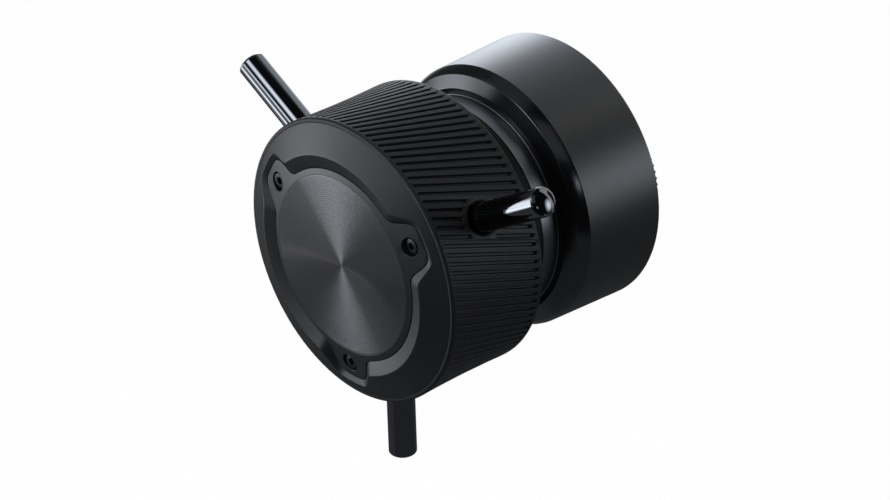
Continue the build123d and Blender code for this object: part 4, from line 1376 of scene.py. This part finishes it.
    def lobed_plate(self) -> None:
        """The three-lobed plate with its counterbores and the disc's pocket."""
        shape = Shape()
        outline = self.plate.points(self.start)
        inset = self.plate.grown(-self.edge).points(self.start)
        half = self.plate.grown(-self.edge * self.edge_ease).points(self.start)
        sides = [
            shape.ring(KNOB_AXIS.at(r, a, self.floor) for r, a in outline),
            shape.ring(KNOB_AXIS.at(r, a, self.plate_y(r) + self.edge) for r, a in outline),
            shape.ring(KNOB_AXIS.at(r, a, self.plate_y(r) + self.edge * self.edge_ease) for r, a in half),
            shape.ring(KNOB_AXIS.at(r, a, self.plate_y(r)) for r, a in inset),
        ]
        shape.skin(sides)
        tops, bottoms = [sides[-1]], [sides[0]]
        seat = self.plate_y(self.screw_circle) + self.head_sink + FACE_SCREW.head_height
        hole = FACE_SCREW.shank_radius + self.plate_gap
        for x, z in ring_places(LOBES, self.screw_circle, self.start, KNOB_X):
            axis = axis_along_y(x, z)
            walls = []
            for radius, sink in ((self.counterbore + self.edge, 0.0), (self.counterbore, self.edge)):
                circle = axis.circle(radius, 0, HOLE_STEPS)
                far = [math.hypot(point.x - KNOB_X, point.z) for point in circle]
                walls.append(
                    shape.ring(Vector((p.x, self.plate_y(f) + sink, p.z)) for p, f in zip(circle, far))
                )
            for radius, y in ((self.counterbore, seat), (hole, seat), (hole, self.floor)):
                walls.append(shape.ring(axis.circle(radius, y, HOLE_STEPS)))
            shape.skin(walls)
            tops.append(walls[0])
            bottoms.append(walls[-1])
        rim = self.disc_radius
        lip = self.disc_lip
        pocket = [(rim + lip, self.plate_y(rim + lip)), (rim, self.disc_y + lip), (rim, self.disc_floor)]
        walls = [shape.ring(KNOB_AXIS.circle(radius, y)) for radius, y in pocket]
        shape.skin(walls)
        shape.cap(walls[-1])
        shape.fill([*tops, walls[0]])
        shape.fill(bottoms)
        piece = shape.build("face_plate_lobed", SATIN_PLATE)
        settle(piece, Body.KNOB, SATIN_PLATE, "face_plate")

    def disc(self) -> None:
        """The disc with the lines that the lathe tool left on it."""
        radius = self.disc_radius - self.disc_gap
        outline: list[Flat] = [(self.line_pitch / 4, self.disc_y)]
        lines = int((radius - self.edge * 2) / self.line_pitch)
        for line in range(1, lines + 1):
            middle = self.line_pitch * line
            outline.append((middle - self.line_pitch / 2, self.disc_y))
            outline.append((middle, self.disc_y + self.line_depth))
        corners = [(0, self.disc_y, 0), (radius, self.disc_y, self.disc_lip), (radius, self.disc_floor, 0)]
        outline += soften(corners)[1:]
        piece = turned_solid(KNOB_AXIS, outline).build("face_disc_spun", SPUN_DISC)
        settle(piece, Body.KNOB, SPUN_DISC, "face_disc")


@dataclass
class GripSleeve:
    """Rubber sleeve with slanted grooves that stop short of the spokes."""

    radius: float = 36.0
    bore: float = 34.0
    lip: float = 34.96  # inner edge of the front, round the face ring
    lip_depth: float = 0.6
    front_round: float = 0.74
    rear_round: float = 0.4
    grooves: int = 102
    groove_width: float = 0.95
    groove_depth: float = 0.7
    groove_front: float = 0.9
    groove_rear: float = 1.4
    slant: float = math.radians(19.1)  # from the knob axis
    phase_share: float = -0.05  # of a pitch, from a spoke to the middle groove
    patch_grooves: int = 5
    hole: float = 4.0
    hole_bevel: float = 0.4
    keep_out: float = 5.5
    clear_ring: float = 4.85
    hole_steps: int = 48
    end_steps: int = 8
    cell_steps: int = 4
    round_steps: int = 6
    groove_shares: tuple[tuple[float, float], ...] = (
        (0.085, 0.0),
        (0.02, 0.06),
        (-0.03, 0.24),
        (-0.1, 0.8),
        (-0.16, 0.95),
        (-0.26, 1.0),
    )  # offset from the groove's edge by its width, and sink by its depth

    def __post_init__(self) -> None:
        """Takes the stations from the frame and measures the outer outline."""
        self.front, self.rear = span("grip_sleeve")
        low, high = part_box("spoke_right")
        self.spoke_y = (low.y + high.y) / 2 / MM
        corners = [
            (self.lip, self.front, 0),
            (self.radius, self.front, self.front_round),
            (self.radius, self.rear, self.rear_round),
            (self.bore, self.rear, 0),
        ]
        self.outline = soften(corners, self.round_steps)
        self.runs = [0.0]
        for (r0, y0), (r1, y1) in zip(self.outline, self.outline[1:]):
            self.runs.append(self.runs[-1] + math.hypot(r1 - r0, y1 - y0))
        straight = next(i for i, (r, _) in enumerate(self.outline) if abs(r - self.radius) < WELD)
        self.run_start = self.runs[straight] - self.outline[straight][1]

    @property
    def pitch(self) -> float:
        """Arc from one groove to the next on the sleeve's surface."""
        return FULL_TURN * self.radius / self.grooves

    def drift(self, y: float) -> float:
        """Arc by which the slant shifts a groove at a station."""
        return -math.tan(self.slant) * (y - self.spoke_y)

    def flat(self, arc: float, y: float) -> Flat:
        """Place in the pattern, whose columns follow the slant, of a place on the straight surface."""
        return arc - self.drift(y), self.run_start + y

    def place(self, x: float, run: float, sink: float = 0.0) -> Vector:
        """Point of the outer surface.

        Args:
            x: Arc from the cell's middle, along the slant.
            run: Distance along the outline from the front's inner edge.
            sink: Depth under the surface.

        Returns:
            The point, about a centred axis.
        """
        index = 0
        while index < len(self.runs) - 2 and self.runs[index + 1] < run:
            index += 1
        share = (run - self.runs[index]) / (self.runs[index + 1] - self.runs[index])
        (r0, y0), (r1, y1) = self.outline[index], self.outline[index + 1]
        radius = r0 + (r1 - r0) * share - sink
        return self.slanted(radius, x, y0 + (y1 - y0) * share)

    def slanted(self, radius: float, x: float, y: float) -> Vector:
        """Point at a radius and a station, at an arc along the slant."""
        return CENTRED_AXIS.at(radius, (x + self.drift(y)) / self.radius, y)

    def groove(self, shape: Shape, sheet: Sheet, x: float, start: float, end: float) -> None:
        """Adds one groove's rings to a pattern.

        Args:
            shape: The shape that gets the points.
            sheet: The pattern that gets the lines.
            x: Arc of the groove at the spokes' station.
            start: Distance of its front end along it, from the spokes' station.
            end: Distance of its rear end.
        """
        ahead = Vector((-math.sin(self.slant), math.cos(self.slant)))
        aside = Vector((math.cos(self.slant), math.sin(self.slant)))
        middle = Vector((x, self.spoke_y))
        inset = self.groove_width / 2
        for offset_share, sink_share in self.groove_shares:
            half = self.groove_width * (0.5 + offset_share)
            ring = []
            for far, turn in ((end - inset, 0.0), (start + inset, math.pi)):
                for step in range(self.end_steps + 1):
                    angle = math.pi * step / self.end_steps + turn
                    along = ahead * (far + half * math.sin(angle))
                    ring.append(middle + along + aside * (half * math.cos(angle)))
            flat = [self.flat(point.x, point.y) for point in ring]
            sink = self.groove_depth * sink_share
            sheet.line(shape.ring(self.place(px, run, sink) for px, run in flat), flat, closed=True)

    def groove_ends(self) -> Flat:
        """Distances of a whole groove's ends along it, from the spokes' station."""
        front = self.front + self.groove_front - self.spoke_y
        rear = self.rear - self.groove_rear - self.spoke_y
        return front / math.cos(self.slant), rear / math.cos(self.slant)

    def grid_lines(self, shape: Shape, sheet: Sheet, columns: Sequence[float]) -> None:
        """Adds the outline's rows, and the columns at the two sides, to a pattern."""
        for run in self.runs:
            flat = [(x, run) for x in columns]
            sheet.line(shape.ring(self.place(x, run) for x in columns), flat)
        for x in (columns[0], columns[-1]):
            flat = [(x, run) for run in self.runs]
            sheet.line(shape.ring(self.place(x, run) for run in self.runs), flat)

    def columns(self, cells: int, first: float) -> list[float]:
        """Arcs of the fine columns across some cells."""
        step = self.pitch / self.cell_steps
        return [first + step * index for index in range(cells * self.cell_steps + 1)]

    def back(self, shape: Shape, columns: Sequence[float], hole: bool) -> list[list[int]]:
        """Adds the bore and the front lip behind a stretch of the outer surface.

        Args:
            shape: The shape that gets them.
            columns: Arcs of the columns.
            hole: Whether a spoke hole opens in the bore.

        Returns:
            The rows of the bore, rear row first.
        """
        places = [
            (self.bore, self.rear),
            (self.bore, self.front + self.lip_depth),
            (self.lip, self.front + self.lip_depth),
            (self.lip, self.front),
        ]
        rows = [shape.ring(self.slanted(radius, x, y) for x in columns) for radius, y in places]
        for number, (near, far) in enumerate(zip(rows, rows[1:])):
            if number == 0 and hole:
                continue
            for index in range(len(columns) - 1):
                shape.faces.append([near[index], near[index + 1], far[index + 1], far[index]])
        return rows

    def cell(self) -> Piece:
        """A slice of the sleeve with one whole groove."""
        shape = Shape()
        sheet = Sheet()
        columns = self.columns(1, -self.pitch / 2)
        self.grid_lines(shape, sheet, columns)
        self.groove(shape, sheet, 0.0, *self.groove_ends())
        shape.faces.extend(sheet.triangles(lambda place: True))
        self.back(shape, columns, hole=False)
        return shape.build("grip_cell_template")

    def round_hole(self, radius: float, turn: float) -> Flat:
        """Arc and station of a point of a circle round a spoke."""
        return radius * math.cos(turn), self.spoke_y + radius * math.sin(turn)

    def spoke_patch(self) -> Piece:
        """The slice round a spoke, where the grooves stop short of its hole."""
        shape = Shape()
        sheet = Sheet()
        first = (self.phase_share - self.patch_grooves / 2) * self.pitch
        columns = self.columns(self.patch_grooves, first)
        self.grid_lines(shape, sheet, columns)
        front, rear = self.groove_ends()
        for index in range(self.patch_grooves):
            x = first + (index + 0.5) * self.pitch
            middle = x * math.sin(self.slant)
            reach = math.sqrt(max(self.keep_out**2 - (x * math.cos(self.slant)) ** 2, 0.0))
            self.groove(shape, sheet, x, front, middle - reach)
            self.groove(shape, sheet, x, middle + reach, rear)
        turns = [FULL_TURN * step / self.hole_steps for step in range(self.hole_steps)]
        lip = self.hole + self.hole_bevel
        stages = ((self.clear_ring, 0.0), (lip, 0.0), (lip - self.hole_bevel / 3, self.hole_bevel / 4))
        mouth: list[int] = []
        for radius, sink in (*stages, (self.hole, self.hole_bevel)):
            flat = [self.flat(*self.round_hole(radius, turn)) for turn in turns]
            mouth = shape.ring(self.place(x, run, sink) for x, run in flat)
            sheet.line(mouth, flat, closed=True)
        hole = [self.flat(*self.round_hole(self.hole, turn)) for turn in turns]
        shape.faces.extend(sheet.triangles(lambda place: not is_inside(place, [hole])))
        rows = self.back(shape, columns, hole=True)
        inner = Sheet()
        ends = [self.run_start + y for y in (self.rear, self.front + self.lip_depth)]
        for row, run in zip(rows, ends):
            inner.line(row, [(x, run) for x in columns])
        for side in (0, -1):
            inner.line([row[side] for row in rows[:2]], [(columns[side], run) for run in ends])
        inside = shape.ring(self.slanted(self.bore, x, run - self.run_start) for x, run in hole)
        inner.line(inside, hole, closed=True)
        shape.faces.extend(inner.triangles(lambda place: not is_inside(place, [hole])))
        shape.skin([mouth, inside])
        return shape.build("spoke_patch_template")

    def build(self, rings: RingTree) -> None:
        """Sets the cells and the patches round the knob."""
        start = spoke_angle("spoke_right")
        a_group = self.grooves // len(SPOKES) - self.patch_grooves
        step = FULL_TURN / self.grooves
        first = start + (self.phase_share + self.patch_grooves / 2 + 0.5) * step
        piece = rings.make(
            "grip_sleeve_grooved", RUBBER, Piece=self.cell(), Lead_piece=self.spoke_patch(),
            Groups=len(SPOKES), Pieces_a_group=a_group, Step=step, Start=first, Lead_start=start,
            Centre=(KNOB_X * MM, 0, 0),
        )
        settle(piece, Body.KNOB, RUBBER, "grip_sleeve")


@dataclass
class Spokes:
    """Three polished rods with a domed end."""

    radius: float = 3.55
    tip: float = 60.4
    seat: float = 33.0
    dome: float = 0.9
    edge: float = 0.55
    shank: float = 2.5
    shank_length: float = 5.5
    dome_start: float = 0.88  # share of the dome's spread inside its rounded edge
    dome_steps: int = 12
    edge_steps: int = 6
    steps: int = 96

    def build(self) -> None:
        """Makes the rods."""
        low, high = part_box(SPOKES[0])
        y = (low.y + high.y) / 2 / MM
        ball = (self.radius**2 + self.dome**2) / (2 * self.dome)
        rod_end = self.tip - self.dome
        profile: list[Flat] = [
            (self.shank, self.seat - self.shank_length),
            (self.shank, self.seat),
            (self.radius, self.seat),
        ]
        rim = math.asin(self.radius / ball)
        side = [(self.radius, self.seat, 0.0), (self.radius, rod_end, self.edge), (0.0, self.tip, 0.0)]
        profile += soften(side, self.edge_steps)[1:-1]
        for step in range(1, self.dome_steps):
            turn = rim * self.dome_start * (1 - step / self.dome_steps)
            profile.append((ball * math.sin(turn), self.tip - ball * (1 - math.cos(turn))))
        for node in SPOKES:
            angle = spoke_angle(node)
            out = Vector((math.cos(angle), 0, math.sin(angle)))
            axis = Axis(Vector((KNOB_X, y, 0)), Vector((0, 1, 0)), out.cross(Vector((0, 1, 0))), out)
            piece = turned_solid(axis, profile, self.steps).build(node + "_polished", BLACK_CHROME)
            settle(piece, Body.KNOB, BLACK_CHROME, node)


@dataclass
class Collar:
    """Collar that closes the knob's rear, with its screws."""

    radius: float = 27.8
    wall: float = 2.8
    end: float = 2.5
    hole: float = 15.5
    flange: float = 33.0
    flange_thickness: float = 1.6
    spigot: float = 26.45
    screws: int = 6
    screw_circle: float = 30.4
    edge: float = 0.16
    gap: float = 0.06

    def build(self, rings: RingTree) -> None:
        """Makes the collar and its screws."""
        front, rear = span("knob_collar")
        seat = span("knob_core")[1]
        face = seat + self.flange_thickness
        start = spoke_angle("spoke_right") - FULL_TURN / self.screws / 2
        shape = Shape()
        inner = self.radius - self.wall
        corners = [
            (self.radius, face, 0),
            (self.radius, rear, self.edge),
            (self.hole, rear, self.edge),
            (self.hole, rear - self.end, 0),
            (inner, rear - self.end, 0),
            (inner, front, 0),
            (self.spigot, front, 0),
            (self.spigot, seat, 0),
            (self.flange, seat, 0),
            (self.flange, face, self.edge),
            (self.radius, face, 0),
        ]
        profile = soften(corners)
        walls = [shape.ring(KNOB_AXIS.circle(radius, y)) for radius, y in profile[:-1]]
        shape.skin(walls)
        stages = COLLAR_SCREW.countersink(self.gap, face, seat)
        tops = [walls[0], walls[-1]]
        for place in ring_places(self.screws, self.screw_circle, start, KNOB_X):
            first, last = bore(shape, place, stages, SMALL_HOLE_STEPS)
            tops.append(first)
            shape.cap(last)
        shape.fill(tops)
        # The collar's near-black, dull finish paints the shade of the recess behind the grip.
        piece = shape.build("knob_collar_turned", COLLAR_PAINTED_SHADE)
        settle(piece, Body.KNOB, COLLAR_PAINTED_SHADE, "knob_collar")
        set_screws(
            rings, "collar_screws", Body.KNOB, COLLAR_SCREW.template(1), self.screws, self.screw_circle,
            start, (KNOB_X, face),
        )


INNER_FINISHES: dict[Finish, tuple[str, ...]] = {
    GROUND_STEEL: (
        "carrier_screws", "front_bearing_outer_ring", "front_bearing_inner_ring", "front_bearing_balls",
        "rear_bearing_outer_ring", "rear_bearing_inner_ring", "rear_bearing_balls", "preload_spring",
        "board_screws", "shaft", "hub_screws", "inner_spacer", "retaining_ring",
    ),
    BRASS: ("front_bearing_cage", "rear_bearing_cage", "magnet_holder"),
    FELT: ("felt_ring",),
    SOLDER_MASK: ("circuit_board",),
    EPOXY: ("encoder_chip", "controller_chip"),
    CERAMIC: ("board_capacitors",),
    NICKEL: ("magnet",),
}


def dress_inner_nodes() -> None:
    """Gives each CAD node that stays its own finish."""
    for finish, nodes in INNER_FINISHES.items():
        for node in nodes:
            piece = frame["nodes"][node]
            piece.data.materials.clear()
            piece.data.materials.append(finish.material())
            LOG.info("%s: %s", node, finish.name)


def direction(azimuth: float, elevation: float) -> Vector:
    """Unit vector from the object; azimuth 0 is to the front, 90 to the right."""
    a, e = math.radians(azimuth), math.radians(elevation)
    return Vector((math.sin(a) * math.cos(e), -math.cos(a) * math.cos(e), math.sin(e)))


LAMP_WHITE = "#eef5ff"  # daylight tubes, a little cooler than the white surround


@dataclass(frozen=True)
class Softbox:
    """A flat lamp that looks at the object from a direction."""

    name: str
    azimuth: float
    elevation: float
    width: float  # metres
    height: float
    radiance: float  # brightness of its hottest place, where 1 is white
    hot: Flat = (0.5, 0.5)  # that place, as shares of the width and the height
    reach: Flat = (0.9, 0.9)  # shares of the width and the height over which it fades out
    roll: float = 0.0  # degrees
    distance: float = 0.7

    def glow(self, lamp: bpy.types.Light) -> None:
        """Makes the lamp fade out away from its hottest place, as a tube behind a diffuser does."""
        tree = empty_tree(lamp)
        place = add_node(tree, "ShaderNodeNewGeometry").outputs["Parametric"]
        offset = add_node(tree, "ShaderNodeVectorMath", {0: place, 1: (*self.hot, 0.0)}, operation="SUBTRACT")
        shares = add_node(
            tree, "ShaderNodeVectorMath", {0: offset.outputs[0], 1: (*self.reach, 1.0)}, operation="DIVIDE"
        )
        away = add_node(tree, "ShaderNodeVectorMath", {0: shares.outputs[0]}, operation="LENGTH")
        fade = add_node(
            tree, "ShaderNodeMapRange", {"Value": away.outputs["Value"], "To Min": 1.0, "To Max": 0.0},
            interpolation_type="SMOOTHSTEP",
        )
        light = add_node(
            tree, "ShaderNodeEmission", {"Color": linear(LAMP_WHITE), "Strength": fade.outputs["Result"]}
        )
        add_node(tree, "ShaderNodeOutputLight", {"Surface": light.outputs[0]})

    def place(self, target: Vector) -> None:
        """Adds the lamp to the scene."""
        lamp = bpy.data.lights.new(self.name, "AREA")
        self.glow(lamp)
        lamp.shape = "RECTANGLE"
        lamp.size = self.width
        lamp.size_y = self.height
        lamp.energy = self.radiance * math.pi * self.width * self.height
        made = bpy.data.objects.new(self.name, lamp)
        out = direction(self.azimuth, self.elevation)
        made.location = target + out * self.distance
        made.rotation_mode = "QUATERNION"
        roll = Quaternion((0, 0, 1), math.radians(self.roll))
        made.rotation_quaternion = out.to_track_quat("Z", "Y") @ roll
        bpy.context.scene.collection.objects.link(made)


@dataclass(frozen=True)
class Card:
    """A curved card of an even tone that only reflections see."""

    name: str
    azimuths: Flat
    elevations: Flat
    tone: float  # brightness, where 1 is white
    distance: float  # metres
    step: float = 6.0

    def place(self, target: Vector) -> None:
        """Adds the card to the stage."""
        (left, right), (low, high) = self.azimuths, self.elevations
        across = math.ceil((right - left) / self.step)
        rise = math.ceil((high - low) / self.step)
        points = []
        for row in range(rise + 1):
            for column in range(across + 1):
                azimuth = left + (right - left) * column / across
                points.append(target + direction(azimuth, low + (high - low) * row / rise) * self.distance)
        wide = across + 1
        faces = []
        for row in range(rise):
            for column in range(across):
                corner = row * wide + column
                faces.append((corner, corner + 1, corner + wide + 1, corner + wide))
        made = new_piece(self.name, points, faces)
        for ray in ("camera", "diffuse", "shadow", "transmission"):
            setattr(made, "visible_" + ray, False)
        material = bpy.data.materials.new(self.name)
        tree = empty_tree(material)
        glow = add_node(tree, "ShaderNodeEmission", {"Color": linear(LAMP_WHITE), "Strength": self.tone})
        add_node(tree, "ShaderNodeOutputMaterial", {"Surface": glow.outputs[0]})
        made.data.materials.append(material)


@dataclass
class Studio:
    """Pale floor, soft lamps, the cards that reflections see, and the camera."""

    camera_azimuth: float = 47.113
    camera_elevation: float = 30.654
    camera_roll: float = 0.109
    camera_distance: float = 0.7648
    camera_target: tuple[float, float, float] = (0.00355, -0.05905, 0.00253)
    lens: float = 130.45
    sensor: float = 36.0
    floor_drop: float = 0.35
    floor_size: float = 8.0
    floor_white: float = 0.98  # share of plain white in the floor as it is seen
    fill: float = 0.48  # strength of the surround as light, where 1 is white
    clip: Flat = (0.01, 50.0)
    softboxes: tuple[Softbox, ...] = (
        Softbox("left_softbox", -51.0, -4.6, 0.36, 0.47, 4.5, (0.4, 0.55), (0.9, 0.7), 45.0),
        Softbox("left_core", -47.0, -18.5, 0.15, 0.16, 4.4, (0.8, 0.4), (1.0, 1.2), -12.0, 0.69),
        Softbox("front_left_softbox", -24.0, 8.0, 0.38, 0.22, 4.6, (0.5, 0.5), (0.6, 0.6)),
        Softbox("front_right_strip", 30.0, 18.0, 0.10, 0.22, 3.0, (0.5, 0.5), (0.6, 0.6)),
        Softbox("front_top_softbox", -6.0, 43.0, 0.40, 0.40, 6.0, (0.5, 0.5), (0.62, 0.62)),
        Softbox("rear_left_softbox", -133.0, 6.0, 0.30, 0.45, 5.0),
        Softbox("rear_right_softbox", 132.0, 8.0, 0.40, 0.44, 4.2, (0.5, 0.5), (0.6, 0.6)),
        Softbox("right_spot", 85.0, 20.0, 0.15, 0.15, 3.0, (0.5, 0.5), (0.5, 0.5)),
    )
    cards: tuple[Card, ...] = (
        Card("low_card", (-20.0, 288.0), (-90.0, -18.0), 0.09, 0.32),
        Card("low_front_card", (-72.0, -20.0), (-90.0, -30.0), 0.14, 0.32),
        Card("low_gap_card", (-43.0, -18.0), (-32.0, -11.0), 0.05, 0.75),
        Card("low_left_card", (-76.0, -54.0), (-30.0, -22.0), 0.5, 0.65),
        Card("right_card", (-38.0, 146.0), (-22.0, 52.0), 0.012, 1.1),
        Card("rear_card", (156.0, 178.0), (-22.0, 25.0), 0.02, 1.1),
        Card("rear_left_card", (178.0, 243.0), (-22.0, 52.0), 1.0, 1.12),
        Card("left_card", (-117.0, -76.0), (-22.0, 52.0), 0.08, 1.1),
        Card("upper_left_card", (-76.0, -38.0), (24.0, 52.0), 0.3, 1.1),
        Card("top_card", (-5.0, 180.0), (52.0, 90.0), 0.02, 1.1),
        Card("top_left_card", (-180.0, -5.0), (52.0, 90.0), 0.16, 1.1),
        Card("top_right_card", (28.0, 85.0), (38.0, 70.0), 0.2, 1.05),
    )

    def build(self) -> None:
        """Sets up the stage, the light and the camera."""
        scene = bpy.context.scene
        scene.view_settings.view_transform = "Standard"
        self.world(scene)
        self.floor()
        target = Vector(self.camera_target)
        for card in self.cards:
            card.place(target)
        for lamp in self.softboxes:
            lamp.place(target)
        self.camera(scene, target)

    def seen(self, tree: Tree) -> Socket:
        """1 for rays from the camera, a mirror or glass, and 0 for the rest."""
        path = add_node(tree, "ShaderNodeLightPath").outputs
        pair = add_node(
            tree, "ShaderNodeMath", {0: path["Is Camera Ray"], 1: path["Is Glossy Ray"]}, operation="MAXIMUM"
        )
        return add_node(
            tree, "ShaderNodeMath", {0: pair.outputs[0], 1: path["Is Transmission Ray"]}, operation="MAXIMUM"
        ).outputs[0]

    def world(self, scene: bpy.types.Scene) -> None:
        """A white surround to look at, and an even grey one for light."""
        scene.world = bpy.data.worlds.new("white_surround")
        tree = empty_tree(scene.world)
        fill = add_node(tree, "ShaderNodeBackground", {"Color": linear(LAMP_WHITE), "Strength": self.fill})
        white = add_node(tree, "ShaderNodeBackground", {"Color": linear("#ffffff"), "Strength": 1.0})
        mixed = add_node(
            tree, "ShaderNodeMixShader", {0: self.seen(tree), 1: fill.outputs[0], 2: white.outputs[0]}
        )
        add_node(tree, "ShaderNodeOutputWorld", {"Surface": mixed.outputs[0]})

    def floor(self) -> None:
        """A pale floor that is near white to look at and keeps a little of the shadow."""
        half = self.floor_size / 2
        low = CAD_BOX[0].z - self.floor_drop
        places = ((-half, -half), (half, -half), (half, half), (-half, half))
        made = new_piece("pale_floor", [Vector((x, y, low)) for x, y in places], [(0, 1, 2, 3)])
        material = bpy.data.materials.new("pale_floor")
        tree = empty_tree(material)
        matt = add_node(tree, "ShaderNodeBsdfDiffuse", {"Color": linear("#f4f4f4")})
        glow = add_node(tree, "ShaderNodeEmission", {"Color": linear("#ffffff"), "Strength": 1.0})
        links = {0: self.seen(tree), 1: self.floor_white}
        share = add_node(tree, "ShaderNodeMath", links, operation="MULTIPLY")
        mixed = add_node(
            tree, "ShaderNodeMixShader", {0: share.outputs[0], 1: matt.outputs[0], 2: glow.outputs[0]}
        )
        add_node(tree, "ShaderNodeOutputMaterial", {"Surface": mixed.outputs[0]})
        made.data.materials.append(material)

    def camera(self, scene: bpy.types.Scene, target: Vector) -> None:
        """The camera at the photograph's angle."""
        data = bpy.data.cameras.new("camera")
        data.lens = self.lens
        data.sensor_width = self.sensor
        data.clip_start, data.clip_end = self.clip
        made = bpy.data.objects.new("camera", data)
        out = direction(self.camera_azimuth, self.camera_elevation)
        made.location = target + out * self.camera_distance
        made.rotation_mode = "QUATERNION"
        level = (-out).to_track_quat("-Z", "Y")
        roll = Quaternion((0, 0, 1), math.radians(self.camera_roll))
        made.rotation_quaternion = level @ roll
        scene.collection.objects.link(made)
        scene.camera = made


def main() -> None:
    """Builds the object and the studio."""
    logging.basicConfig(level=logging.INFO, format="%(message)s")
    rings = RingTree()
    Housing().build(rings)
    Rosette().build(rings)
    KnobFace().build(rings)
    GripSleeve().build(rings)
    Spokes().build()
    Collar().build(rings)
    dress_inner_nodes()
    Studio().build()


if __name__ == "__main__":
    main()
